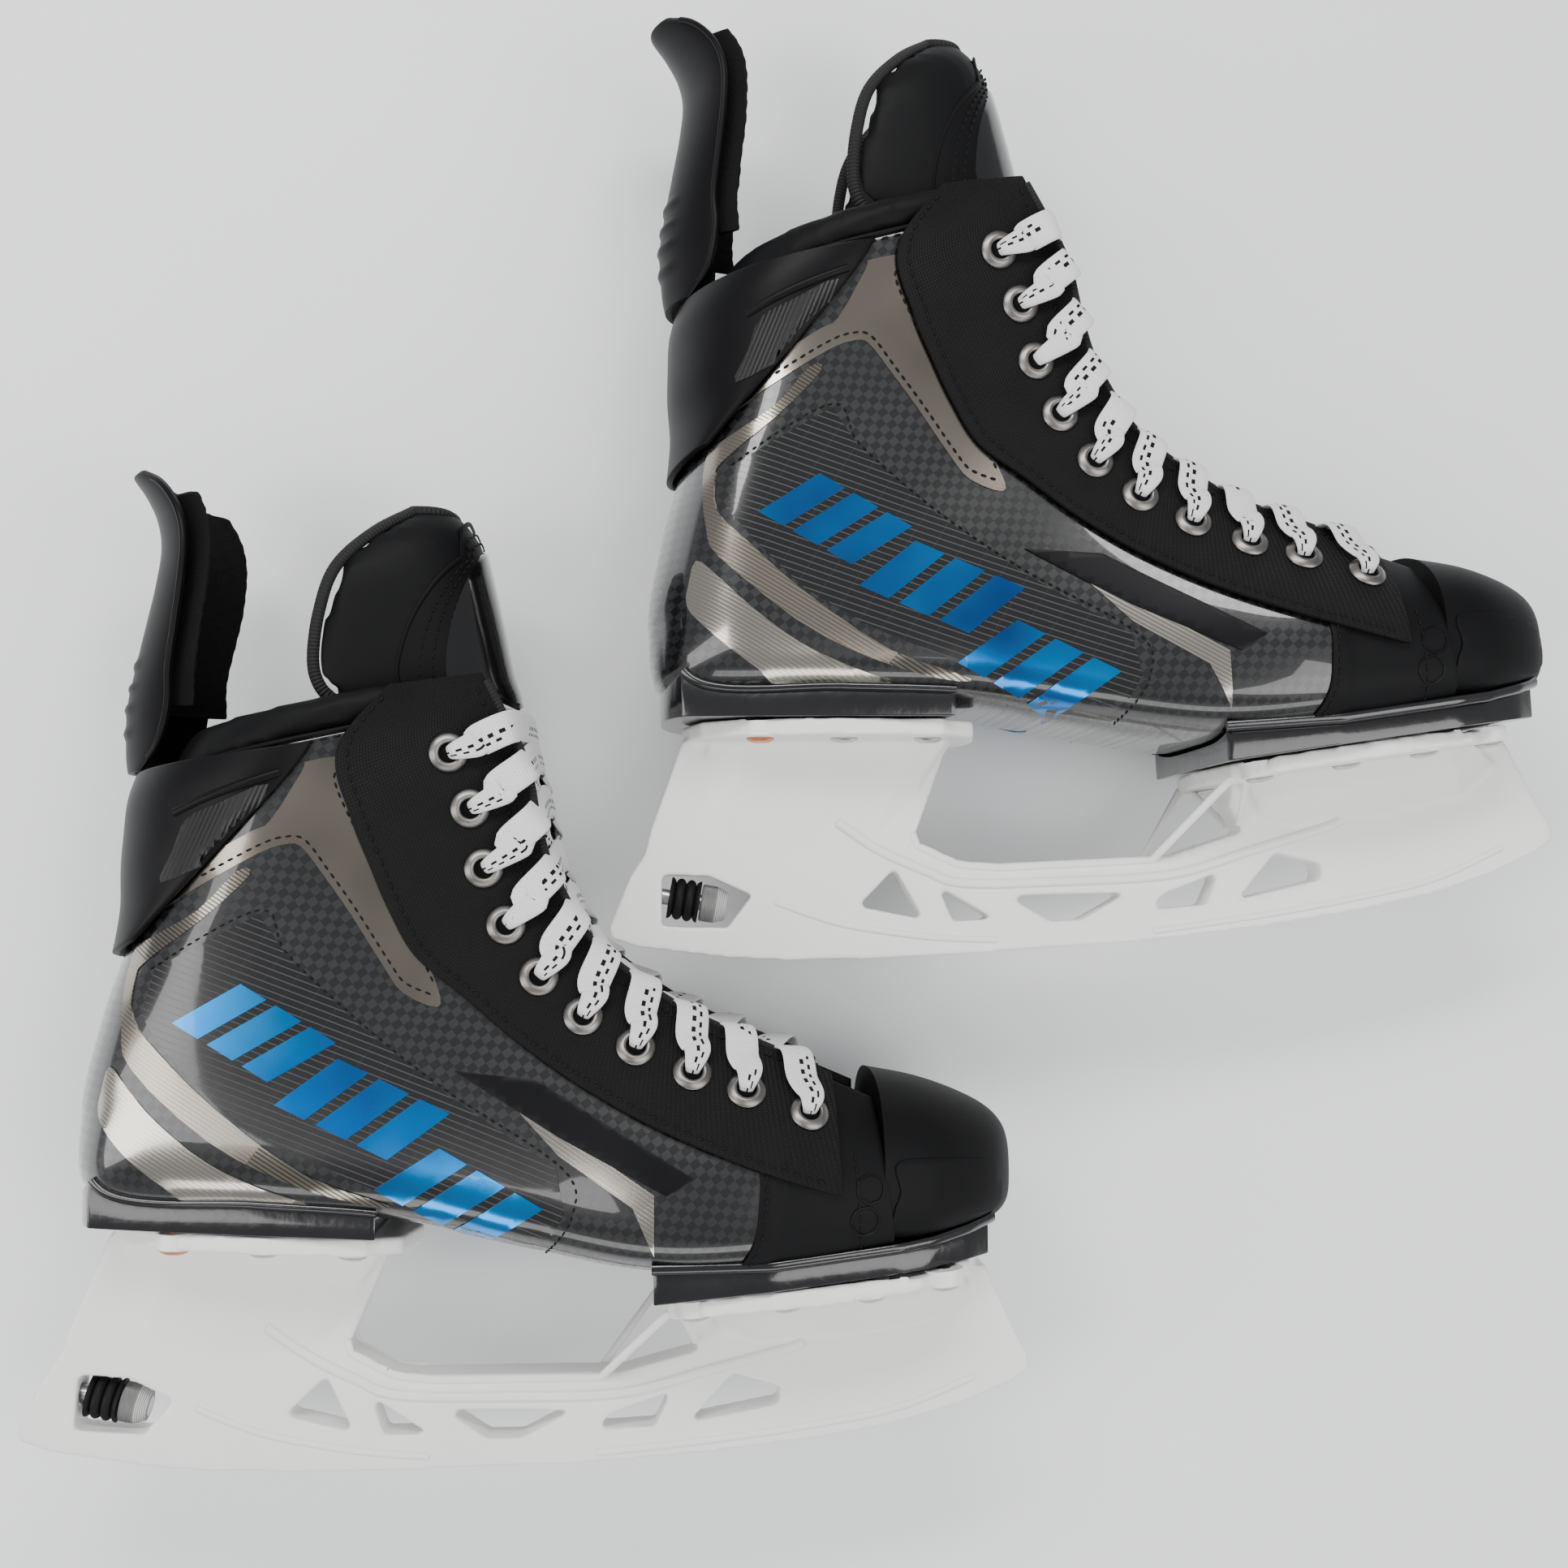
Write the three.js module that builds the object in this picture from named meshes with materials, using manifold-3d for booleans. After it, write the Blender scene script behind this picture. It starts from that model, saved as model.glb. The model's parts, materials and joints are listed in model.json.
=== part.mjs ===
// A pair of ice skates without their steel runners, lying side by side on their sides.
// Each skate is drawn in its own frame: X from heel to toe, Y from the runner up to the cuff,
// Z across. The pair lies with +Z up. All sizes are millimetres.
import * as THREE from 'three';
import { mergeVertices } from 'three/addons/utils/BufferGeometryUtils.js';
import Module from 'manifold-3d';

const wasm = await Module();
wasm.setup();

// ---- overall sizes ----
const bootLength = 274;
const bootRise = 170; // from the sole level up to the front of the cuff
const deckHeight = 60; // from the runner line up to the sole level
const forefootHalfWidth = 49;
const waistHalfWidth = 42;
const heelHalfWidth = 38;
const ankleHalfWidth = 39;
const cuffHalfWidth = 42;
const throatHalfWidth = 26;
const toeSwing = 5; // how far the toe leans towards the other foot

// ---- walls, gaps and small parts ----
const clearance = 0.4;
const drapeGap = 0.6; // added where a piece is draped over the boot on its own lines
const shellWall = 3;
const linerWall = 3;
const linerGap = 0.6; // the liner's padding keeps this far off the shell
const cuffPadding = 9;
const eyestayThickness = 1.6;
const stripThickness = 0.8;
const stripHalfWidth = 1.8;
const flangeThickness = 5;
const footbedThickness = 4;
const eyeletCount = 10;
const eyeletInset = 19;
const eyeletRadius = 5.6;
const eyeletBore = 2.9;
const eyeletHeight = 1.4;
const laceWidth = 9;
const laceThickness = 1.5;
const tongueThickness = 8;
const plateThickness = 1.6;
const guardThickness = 3.2;
const feltThickness = 3;
const railHalfWidth = 6.5;
const runnerWidth = 3.2;
const runnerDepth = 7;
const rivetRadius = 2.1;
const rivetHeadRadius = 4.2;
const rivetHeadHeight = 1.3;
const rivetPlate = 0.8;
const screwRadius = 2.4;
const screwHeadRadius = 4.6;
const screwHeadHeight = 4;
const sleeveRadius = 6.4;
const barrelRadius = 5.8;
const barrelLength = 8;

// ---- how the pair lies ----
const leftForward = 170;
const leftUp = 145.5;
const leftTurn = THREE.MathUtils.degToRad(2.9);

// The outlines below are drawn for a boot of this length and rise, and stretched to the sizes above.
const drawnLength = 274;
const drawnRise = 170;
const drawnDeck = 60;

function alongX(x) {
  return (x * bootLength) / drawnLength;
}

function upBoot(y) {
  return deckHeight + ((y - drawnDeck) * bootRise) / drawnRise;
}

function upHolder(y) {
  return (y * deckHeight) / drawnDeck;
}

// ---- the boot surface ----
// Each rib is a cut through the boot: from the middle of the sole or heel (foot) to the throat edge
// (throat). The cut is rounded below the height "low" with the given squareness.
const ribs = [
  { throat: [230, 109], foot: [236, 65], wide: forefootHalfWidth - 4, low: 20, square: 3.8, open: throatHalfWidth + 2 },
  { throat: [202, 121], foot: [200, 61], wide: forefootHalfWidth, low: 22, square: 4, open: throatHalfWidth },
  { throat: [177, 132], foot: [164, 60], wide: forefootHalfWidth - 2, low: 24, square: 4, open: throatHalfWidth - 1 },
  { throat: [159, 144], foot: [128, 66.5], wide: waistHalfWidth, low: 28, square: 4, open: throatHalfWidth },
  { throat: [147, 155], foot: [92, 74.5], wide: heelHalfWidth + 1, low: 32, square: 4.4, open: throatHalfWidth + 1 },
  { throat: [140, 167], foot: [52, 77.5], wide: heelHalfWidth, low: 38, square: 4.2, open: throatHalfWidth + 2 },
  { throat: [135, 178], foot: [6, 80], wide: heelHalfWidth, low: 42, square: 2.8, open: throatHalfWidth + 3 },
  { throat: [132, 190], foot: [-1, 103], wide: heelHalfWidth, low: 42, square: 2.1, open: throatHalfWidth + 4 },
  { throat: [130, 201], foot: [4, 130], wide: ankleHalfWidth - 1, low: 40, square: 2.1, open: throatHalfWidth + 5 },
  { throat: [127, 210], foot: [13, 160], wide: ankleHalfWidth, low: 42, square: 2.1, open: throatHalfWidth + 6 },
  { throat: [122, 220], foot: [19, 194], wide: cuffHalfWidth - 1, low: 45, square: 2.1, open: throatHalfWidth + 7 },
  { throat: [116, 231], foot: [29, 217], wide: cuffHalfWidth, low: 48, square: 2.1, open: throatHalfWidth + 8 },
];
// Where along the ribs each surface has an edge line: the pieces share these lines.
const wrapLines = [0.16, 0.45, 0.74, 1.02];
const shellLines = [1.05, 1.8, 2.6, 3.4, 4.2, 5, 5.6, 6, 6.5, 7.3, 8.2, 9.1, 9.7, 10.25];
const cuffLines = [10.31, 10.65, 11];

function smooth(list, s) {
  const i = Math.min(Math.max(Math.floor(s), 0), list.length - 2);
  const f = s - i;
  const b = list[i];
  const c = list[i + 1];
  const a = i > 0 ? list[i - 1] : 2 * b - c;
  const d = i < list.length - 2 ? list[i + 2] : 2 * c - b;
  return b + 0.5 * f * (c - a + f * (2 * a - 5 * b + 4 * c - d + f * (3 * (b - c) + d - a)));
}

const ribTable = {
  throatX: ribs.map((rib) => alongX(rib.throat[0])),
  throatY: ribs.map((rib) => upBoot(rib.throat[1])),
  footX: ribs.map((rib) => alongX(rib.foot[0])),
  footY: ribs.map((rib) => upBoot(rib.foot[1])),
  wide: ribs.map((rib) => rib.wide),
  low: ribs.map((rib) => (rib.low * bootRise) / drawnRise),
  square: ribs.map((rib) => rib.square),
  open: ribs.map((rib) => rib.open),
};

function ribAt(s) {
  const rib = {};
  for (const key of Object.keys(ribTable)) rib[key] = smooth(ribTable[key], s);
  rib.depth = Math.hypot(rib.throatX - rib.footX, rib.throatY - rib.footY);
  return rib;
}

// v runs round the cut: 0 at the sole or heel, +-0.5 at the widest place, +-1 at the throat edge.
function skinPoint(s, v) {
  const rib = ribAt(s);
  const side = Math.sign(v) || 1;
  const round = Math.min(Math.abs(v) * 2, 1);
  const rise = Math.max(Math.abs(v) * 2 - 1, 0);
  const bend = 2 / rib.square;
  let height = rib.low * (1 - Math.max(Math.cos((round * Math.PI) / 2), 0) ** bend);
  let half = rib.wide * Math.sin((round * Math.PI) / 2) ** bend;
  if (rise > 0) {
    height = rib.low + (rib.depth - rib.low) * rise;
    half = rib.wide - (rib.wide - rib.open) * rise * rise;
  }
  const f = height / rib.depth;
  const x = rib.footX + (rib.throatX - rib.footX) * f;
  const y = rib.footY + (rib.throatY - rib.footY) * f;
  return new THREE.Vector3(x, y, side * half);
}

function skinNormal(s, v) {
  const step = 0.02;
  const alongRibs = skinPoint(s + step, v).sub(skinPoint(s - step, v));
  const round = skinPoint(s, v + step).sub(skinPoint(s, v - step));
  return round.cross(alongRibs).normalize();
}

function offSkin(s, v, offset) {
  return skinPoint(s, v).addScaledVector(skinNormal(s, v), offset);
}

// The v of the place a given distance in from the throat edge, measured over the surface.
function inFromThroat(s, distance) {
  const step = 0.01;
  let v = 1;
  let walked = 0;
  let before = skinPoint(s, v);
  while (walked < distance && v > 0.5) {
    const here = skinPoint(s, v - step);
    const stride = here.distanceTo(before);
    v -= step * Math.min((distance - walked) / stride, 1);
    walked += stride;
    before = here;
  }
  return v;
}

// The v of the place a given distance forward from the back of the heel.
function inFromHeel(s, distance) {
  const rib = ribAt(s);
  if (distance >= rib.low) return 0.5 + (distance - rib.low) / (rib.depth - rib.low) / 2;
  const cosine = (1 - distance / rib.low) ** (rib.square / 2);
  return Math.acos(cosine) / Math.PI;
}

// ---- mesh builders ----
function toGeometry(points, faces) {
  const positions = new Float32Array(points.flatMap((p) => [p.x, p.y, p.z]));
  const geometry = new THREE.BufferGeometry();
  geometry.setAttribute('position', new THREE.BufferAttribute(positions, 3));
  geometry.setIndex(faces);
  return faceOut(geometry);
}

function faceOut(geometry) {
  const p = geometry.attributes.position;
  const index = geometry.index.array;
  const a = new THREE.Vector3();
  const b = new THREE.Vector3();
  const c = new THREE.Vector3();
  let volume = 0;
  for (let i = 0; i < index.length; i += 3) {
    a.fromBufferAttribute(p, index[i]);
    b.fromBufferAttribute(p, index[i + 1]);
    c.fromBufferAttribute(p, index[i + 2]);
    volume += a.dot(b.cross(c));
  }
  if (volume < 0) {
    for (let i = 0; i < index.length; i += 3) {
      const first = index[i];
      index[i] = index[i + 1];
      index[i + 1] = first;
    }
  }
  return geometry;
}

// A closed sheet with thickness: front(i, j) and back(i, j) give its two faces.
function sheet(rows, columns, front, back) {
  const points = [];
  const faces = [];
  const width = columns + 1;
  for (const face of [front, back]) {
    for (let i = 0; i <= rows; i += 1) {
      for (let j = 0; j <= columns; j += 1) points.push(face(i, j));
    }
  }
  const layer = (rows + 1) * width;
  const quad = (a, b, c, d) => faces.push(a, b, c, a, c, d);
  for (let i = 0; i < rows; i += 1) {
    for (let j = 0; j < columns; j += 1) {
      const a = i * width + j;
      quad(a, a + 1, a + width + 1, a + width);
      quad(layer + a + 1, layer + a, layer + a + width, layer + a + width + 1);
    }
  }
  for (let i = 0; i < rows; i += 1) {
    const a = i * width;
    const b = a + columns;
    quad(a, a + width, layer + a + width, layer + a);
    quad(b + width, b, layer + b, layer + b + width);
  }
  for (let j = 0; j < columns; j += 1) {
    const a = j;
    const b = rows * width + j;
    quad(a + 1, a, layer + a, layer + a + 1);
    quad(b, b + 1, layer + b + 1, layer + b);
  }
  return toGeometry(points, faces);
}

// A solid through rings of points, closed by a flat cap at each end.
function loft(rings) {
  const points = rings.flat();
  const faces = [];
  const n = rings[0].length;
  for (let r = 0; r < rings.length - 1; r += 1) {
    for (let k = 0; k < n; k += 1) {
      const a = r * n + k;
      const b = r * n + ((k + 1) % n);
      faces.push(a, b, b + n, a, b + n, a + n);
    }
  }
  if (n === 4) {
    const z = (rings.length - 1) * n;
    faces.push(2, 1, 0, 3, 2, 0, z, z + 1, z + 2, z, z + 2, z + 3);
    return toGeometry(points, faces);
  }
  for (const [start, flip] of [[0, true], [(rings.length - 1) * n, false]]) {
    const centre = new THREE.Vector3();
    for (let k = 0; k < n; k += 1) centre.add(points[start + k]);
    points.push(centre.divideScalar(n));
    const c = points.length - 1;
    for (let k = 0; k < n; k += 1) {
      const a = start + k;
      const b = start + ((k + 1) % n);
      if (flip) faces.push(c, b, a);
      else faces.push(c, a, b);
    }
  }
  return toGeometry(points, faces);
}

// A cup: outer and inner rings share the rim at the first ring, and each end is closed.
function cup(outer, inner) {
  const n = outer[0].length;
  const points = [...outer.flat(), ...inner.flat()];
  const faces = [];
  const layer = outer.length * n;
  const side = (start, count, flip) => {
    for (let r = 0; r < count - 1; r += 1) {
      for (let k = 0; k < n; k += 1) {
        const a = start + r * n + k;
        const b = start + r * n + ((k + 1) % n);
        if (flip) faces.push(a, b + n, b, a, a + n, b + n);
        else faces.push(a, b, b + n, a, b + n, a + n);
      }
    }
    const last = start + (count - 1) * n;
    const centre = new THREE.Vector3();
    for (let k = 0; k < n; k += 1) centre.add(points[last + k]);
    points.push(centre.divideScalar(n));
    const c = points.length - 1;
    for (let k = 0; k < n; k += 1) {
      const a = last + k;
      const b = last + ((k + 1) % n);
      if (flip) faces.push(c, b, a);
      else faces.push(c, a, b);
    }
  };
  side(0, outer.length, false);
  side(layer, inner.length, true);
  for (let k = 0; k < n; k += 1) {
    const b = (k + 1) % n;
    faces.push(b, k, layer + k, b, layer + k, layer + b);
  }
  return toGeometry(points, faces);
}

function toSolid(geometry) {
  const bare = geometry.index ? geometry.toNonIndexed() : geometry.clone();
  bare.deleteAttribute('normal');
  bare.deleteAttribute('uv');
  const merged = faceOut(mergeVertices(bare, 1e-4));
  const vertProperties = new Float32Array(merged.attributes.position.array);
  const triVerts = new Uint32Array(merged.index.array);
  return new wasm.Manifold(new wasm.Mesh({ numProp: 3, vertProperties, triVerts }));
}

function fromSolid(solid) {
  const mesh = solid.getMesh();
  const geometry = new THREE.BufferGeometry();
  geometry.setAttribute('position', new THREE.BufferAttribute(new Float32Array(mesh.vertProperties), 3));
  geometry.setIndex(new THREE.BufferAttribute(new Uint32Array(mesh.triVerts), 1));
  return geometry;
}

function joined(geometries) {
  return geometries.map(toSolid).reduce((all, solid) => all.add(solid));
}

function block(x0, x1, y0, y1, z0, z1) {
  const geometry = new THREE.BoxGeometry(x1 - x0, y1 - y0, z1 - z0);
  geometry.translate((x0 + x1) / 2, (y0 + y1) / 2, (z0 + z1) / 2);
  return geometry;
}

// A flat plate of the given side outline, centred across.
function plateOf(shape, halfWidth) {
  const geometry = new THREE.ExtrudeGeometry(shape, { depth: 2 * halfWidth, bevelEnabled: false, curveSegments: 5 });
  geometry.translate(0, 0, -halfWidth);
  return geometry;
}

function turned(profile, segments, origin, direction) {
  const points = profile.map(([radius, along]) => new THREE.Vector2(radius, along));
  const geometry = new THREE.LatheGeometry(points, segments);
  const turn = new THREE.Quaternion().setFromUnitVectors(new THREE.Vector3(0, 1, 0), direction);
  geometry.applyQuaternion(turn);
  geometry.translate(origin.x, origin.y, origin.z);
  return geometry;
}

// ---- boot pieces ----
const roundSteps = 4;
const riseSteps = 4;

function ribRange(from, to, steps) {
  return (i) => from + ((to - from) * i) / steps;
}

// A wall that follows the boot surface along the given rib lines, between two offsets from it.
function bootWall(lines, reach, outer, inner, steps = riseSteps) {
  const cut = wholeCut(reach, steps);
  return sheet(
    lines.length - 1,
    cut.length - 1,
    (i, j) => offSkin(lines[i], cut[j], outer),
    (i, j) => offSkin(lines[i], cut[j], inner),
  );
}

// The v lines of the whole cut, closer together where it bends.
function wholeCut(reach, steps) {
  const lines = [];
  for (let i = steps; i > 0; i -= 1) lines.push(-0.5 - ((reach - 0.5) * i) / steps);
  for (let i = -roundSteps; i <= roundSteps; i += 1) lines.push((0.5 * i) / roundSteps);
  for (let i = 1; i <= steps; i += 1) lines.push(0.5 + ((reach - 0.5) * i) / steps);
  return lines;
}

function shellPiece() {
  return bootWall(shellLines, 1, 0, -shellWall);
}

function linerPiece() {
  const outer = -shellWall - linerGap;
  const lines = [...shellLines.slice(0, -1), 10.13];
  return bootWall(lines, 0.75, outer, outer - linerWall, riseSteps / 2);
}

function cuffPiece() {
  return bootWall(cuffLines, 0.93, 0, -cuffPadding);
}

function toeWrapPiece() {
  return bootWall(wrapLines, 1, 0, -shellWall);
}

// Rings of the toe box: back edge first, nose last.
const toeRings = [
  { x: 232.5, sole: 65, top: 115, half: forefootHalfWidth - 4 },
  { x: 246, sole: 66.5, top: 112.5, half: forefootHalfWidth - 8 },
  { x: 258, sole: 69, top: 108.5, half: forefootHalfWidth - 15 },
  { x: 267, sole: 71.5, top: 104, half: forefootHalfWidth - 23 },
  { x: 272, sole: 75, top: 99, half: forefootHalfWidth - 32 },
  { x: 274, sole: 80, top: 93, half: forefootHalfWidth - 41 },
];

function toeRing(ring, inset) {
  const points = [];
  const steps = 16;
  const bottom = upBoot(ring.sole) + inset;
  const top = upBoot(ring.top) - inset;
  const waist = bottom + (top - bottom) * 0.45;
  for (let k = 0; k < steps; k += 1) {
    const angle = (2 * Math.PI * k) / steps;
    const down = Math.cos(angle) > 0;
    const bend = 2 / (down ? 3.6 : 2.5);
    const z = Math.sign(Math.sin(angle)) * (ring.half - inset) * Math.abs(Math.sin(angle)) ** bend;
    const reach = Math.abs(Math.cos(angle)) ** bend;
    const y = down ? waist - (waist - bottom) * reach : waist + (top - waist) * reach;
    points.push(new THREE.Vector3(alongX(ring.x) - inset * 0.4, y, z));
  }
  return points;
}

function toeCapPiece() {
  const outer = toeRings.map((ring) => toeRing(ring, 0));
  const inner = toeRings.slice(0, 4).map((ring) => toeRing(ring, shellWall));
  inner[0] = inner[0].map((p) => p.setX(outer[0][0].x));
  return cup(outer, inner);
}

// The width of the eyestay at each rib, back from the throat edge.
const eyestayWidths = [36, 40, 38, 36, 36, 40, 46, 49, 51, 51, 47, 26];
const eyestayLines = [...wrapLines.slice(1, 3), ...shellLines, ...cuffLines.slice(1)];

function eyestayPiece(side) {
  const columns = 4;
  const starts = eyestayLines.map((s) => inFromThroat(s, smooth(eyestayWidths, s)));
  const line = (i, j) => side * (starts[i] + ((1 - starts[i]) * j) / columns);
  const under = clearance + drapeGap;
  return sheet(
    eyestayLines.length - 1,
    columns,
    (i, j) => offSkin(eyestayLines[i], line(i, j), under + eyestayThickness),
    (i, j) => offSkin(eyestayLines[i], line(i, j), under),
  );
}

const stripOffset = 2 * clearance + drapeGap + eyestayThickness;
const ringOffset = stripOffset + 0.25;

// The ribs at which the eyelets sit, evenly spaced along the throat.
function eyeletRibs() {
  const samples = 200;
  const first = 0.72;
  const last = 9.45;
  const marks = [];
  let walked = 0;
  let before = null;
  for (let i = 0; i <= samples; i += 1) {
    const s = first + ((last - first) * i) / samples;
    const point = skinPoint(s, inFromThroat(s, eyeletInset));
    if (before) walked += point.distanceTo(before);
    before = point;
    marks.push([s, walked]);
  }
  const list = [];
  for (let i = 0; i < eyeletCount; i += 1) {
    const wanted = (walked * i) / (eyeletCount - 1);
    list.push(marks.find((mark) => mark[1] >= wanted - 1e-6)[0]);
  }
  return list;
}

const eyeletAt = eyeletRibs();

// A flat band through the given points; across gives its width direction at each point.
function band(points, across, width, thickness) {
  const rings = points.map((point, i) => {
    const a = points[Math.max(i - 1, 0)];
    const b = points[Math.min(i + 1, points.length - 1)];
    const along = b.clone().sub(a).normalize();
    const wide = across[i].clone().addScaledVector(along, -across[i].dot(along)).normalize();
    const up = along.clone().cross(wide).normalize();
    const w = wide.multiplyScalar(width / 2);
    const h = up.multiplyScalar(thickness / 2);
    return [
      point.clone().add(w).add(h),
      point.clone().sub(w).add(h),
      point.clone().sub(w).sub(h),
      point.clone().add(w).sub(h),
    ];
  });
  return loft(rings);
}

// Ten rings held together by a narrow strip that shows between them.
function eyeletRow(side) {
  const profile = [
    [eyeletBore, 0],
    [eyeletRadius, 0],
    [eyeletBore + 0.9, eyeletHeight],
    [eyeletBore, 0],
  ];
  const seats = eyeletAt.map((s) => {
    const v = side * inFromThroat(s, eyeletInset);
    return { at: offSkin(s, v, ringOffset), normal: skinNormal(s, v) };
  });
  const pieces = seats.map((seat) => turned(profile, 6, seat.at, seat.normal));
  for (let i = 0; i < seats.length - 1; i += 1) {
    const along = seats[i + 1].at.clone().sub(seats[i].at).normalize();
    const reach = eyeletRadius - 1.2;
    const ends = [
      seats[i].at.clone().addScaledVector(along, reach).addScaledVector(seats[i].normal, stripThickness * 0.6),
      seats[i + 1].at.clone().addScaledVector(along, -reach).addScaledVector(seats[i + 1].normal, stripThickness * 0.6),
    ];
    const across = [seats[i], seats[i + 1]].map((seat) => seat.normal.clone().cross(along));
    pieces.push(band(ends, across, stripHalfWidth * 2, stripThickness));
  }
  return fromSolid(joined(pieces));
}

// ---- tongue ----
// The front of the tongue in the middle plane, toe end first: it stands proud of the throat edge.
const tongueLine = [
  [222, 106.5], [202, 116.5], [181, 127], [164, 137], [151, 148.5], [142, 161.5], [136, 175], [132, 190], [128.5, 204],
  [126.5, 212], [124.6, 221.9],
];
const upperTongue = [
  { front: [125, 222.5], back: 72, half: 26 },
  { front: [124.5, 228], back: 66, half: 28 },
  { front: [122, 236], back: 64, half: 29 },
  { front: [119, 250], back: 66, half: 30 },
  { front: [116, 263], back: 71, half: 30 },
  { front: [113, 274], back: 82, half: 26 },
  { front: [108, 283], back: 95, half: 17 },
];

function lineNormal(line, i) {
  const a = line[Math.max(i - 1, 0)];
  const b = line[Math.min(i + 1, line.length - 1)];
  const along = new THREE.Vector3(b[0] - a[0], b[1] - a[1], 0).normalize();
  return new THREE.Vector3(along.y, -along.x, 0);
}

function tonguePoint(i, across, depth) {
  const [x, y] = tongueLine[i];
  const normal = lineNormal(tongueLine, i);
  const half = throatHalfWidth - 5;
  const drop = 5 * across * across + depth;
  return new THREE.Vector3(alongX(x) - normal.x * drop, upBoot(y) - normal.y * drop, half * across);
}

function lowerTonguePiece() {
  const columns = 6;
  const across = (j) => (2 * j) / columns - 1;
  return sheet(
    tongueLine.length - 1,
    columns,
    (i, j) => tonguePoint(i, across(j), 0),
    (i, j) => tonguePoint(i, across(j), tongueThickness),
  );
}

function upperTonguePoint(station, across, inset) {
  const front = alongX(station.front[0]) - inset;
  const sweep = front - alongX(station.back);
  const x = front - sweep * Math.abs(across) ** 2.4;
  const half = station.half - inset * 0.8 * Math.abs(across);
  const z = half * Math.sin((across * Math.PI) / 2);
  return new THREE.Vector3(x, upBoot(station.front[1]), z);
}

function upperTonguePiece() {
  const columns = 8;
  const across = (j) => (2 * j) / columns - 1;
  return sheet(
    upperTongue.length - 1,
    columns,
    (i, j) => upperTonguePoint(upperTongue[i], across(j), 0),
    (i, j) => upperTonguePoint(upperTongue[i], across(j) * 0.93, tongueThickness),
  );
}

function tonguePlatePiece() {
  const columns = 8;
  const across = (j) => 0.62 * ((2 * j) / columns - 1);
  const stations = upperTongue.slice(1, 6);
  return sheet(
    stations.length - 1,
    columns,
    (i, j) => upperTonguePoint(stations[i], across(j), -clearance - 0.5 - plateThickness),
    (i, j) => upperTonguePoint(stations[i], across(j), -clearance - 0.5),
  );
}

// ---- tendon guard ----
const guardStations = [
  { back: [8.5, 203.6], half: 17, sweep: 7 },
  { back: [8, 211], half: 22, sweep: 14 },
  { back: [8, 223], half: 23, sweep: 17 },
  { back: [10, 234], half: 23, sweep: 15 },
  { back: [13, 247], half: 25, sweep: 14 },
  { back: [16, 260], half: 27, sweep: 13 },
  { back: [17.5, 271], half: 27, sweep: 12 },
  { back: [16, 280], half: 25, sweep: 11 },
  { back: [12, 288], half: 20, sweep: 9 },
  { back: [8, 293], half: 12, sweep: 5 },
];

function guardPoint(i, across, depth, forward = 0) {
  const station = guardStations[i];
  const line = guardStations.map((entry) => entry.back);
  const inward = lineNormal(line, i);
  const lean = 1 - 0.45 * Math.abs(across);
  const x = alongX(station.back[0]) + (station.sweep + forward) * across * across + inward.x * depth * lean;
  const y = upBoot(station.back[1]) + inward.y * depth;
  const z = (station.half - depth * 0.55 * Math.abs(across)) * across;
  return new THREE.Vector3(x, y, z);
}

function guardPiece() {
  const columns = 8;
  const across = (j) => (2 * j) / columns - 1;
  return sheet(
    guardStations.length - 1,
    columns,
    (i, j) => guardPoint(i, across(j), 0),
    (i, j) => guardPoint(i, across(j), guardThickness),
  );
}

function guardFeltPiece() {
  const columns = 8;
  const across = (j) => (2 * j) / columns - 1;
  const forward = 5;
  const rows = guardStations.length - 4;
  const gap = guardThickness + clearance + 0.3;
  return sheet(
    rows,
    columns,
    (i, j) => guardPoint(i + 2, across(j), gap, forward),
    (i, j) => guardPoint(i + 2, across(j), gap + feltThickness, forward),
  );
}

// The moulded base wraps the back of the heel and runs forward in a wing below the cuff.
function guardBasePiece() {
  const columns = 10;
  const ribList = [8.65, 8.87, 9.1, 9.4, 9.7, 9.97, 10.22];
  const wing = [12, 20, 28, 38, 46, 50, 51];
  const thick = [2, 3, 4, 6, 7, 8, 8];
  const line = (i, j) => inFromHeel(ribList[i], wing[i]) * ((2 * j) / columns - 1);
  const baseGap = clearance + drapeGap + 0.3;
  const swell = (i, j) => 2 + (thick[i] - 2) * (1 - Math.abs((2 * j) / columns - 1)) ** 0.7;
  return sheet(
    ribList.length - 1,
    columns,
    (i, j) => offSkin(ribList[i], line(i, j), baseGap + swell(i, j)),
    (i, j) => offSkin(ribList[i], line(i, j), baseGap),
  );
}

// ---- soles ----
// The two decks of the holder: a point on the top of each flange and its slope.
const rearDeck = { from: 8, to: 98, at: [11, 73.6], slope: -0.045 };
const frontDeck = { from: 167, to: 264, at: [167, 52.5], slope: 0.1 };

function deckLevel(deck, x) {
  return upHolder(deck.at[1]) + (x - alongX(deck.at[0])) * deck.slope;
}

const heelSoleLines = [4.2, 4.6, 5, 5.6, 5.9, 6.15];
const soleReach = 0.22;

function onDeck(deck, point) {
  return new THREE.Vector3(point.x, deckLevel(deck, point.x) + clearance, point.z);
}

function heelSolePiece() {
  const columns = 6;
  const line = (j) => soleReach * ((2 * j) / columns - 1);
  const top = (i, j) => offSkin(heelSoleLines[i], line(j), clearance + 0.5);
  return sheet(heelSoleLines.length - 1, columns, (i, j) => onDeck(rearDeck, top(i, j)), top);
}

// The underside of the forefoot and the toe box, toe end first.
const underside = [
  ...toeRings.slice(1, 4).reverse().map((ring) => ({ x: ring.x, level: ring.sole, wide: ring.half, low: 18 })),
  ...ribs.slice(0, 4).map((rib) => ({ x: rib.foot[0], level: rib.foot[1], wide: rib.wide, low: rib.low })),
];

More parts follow.
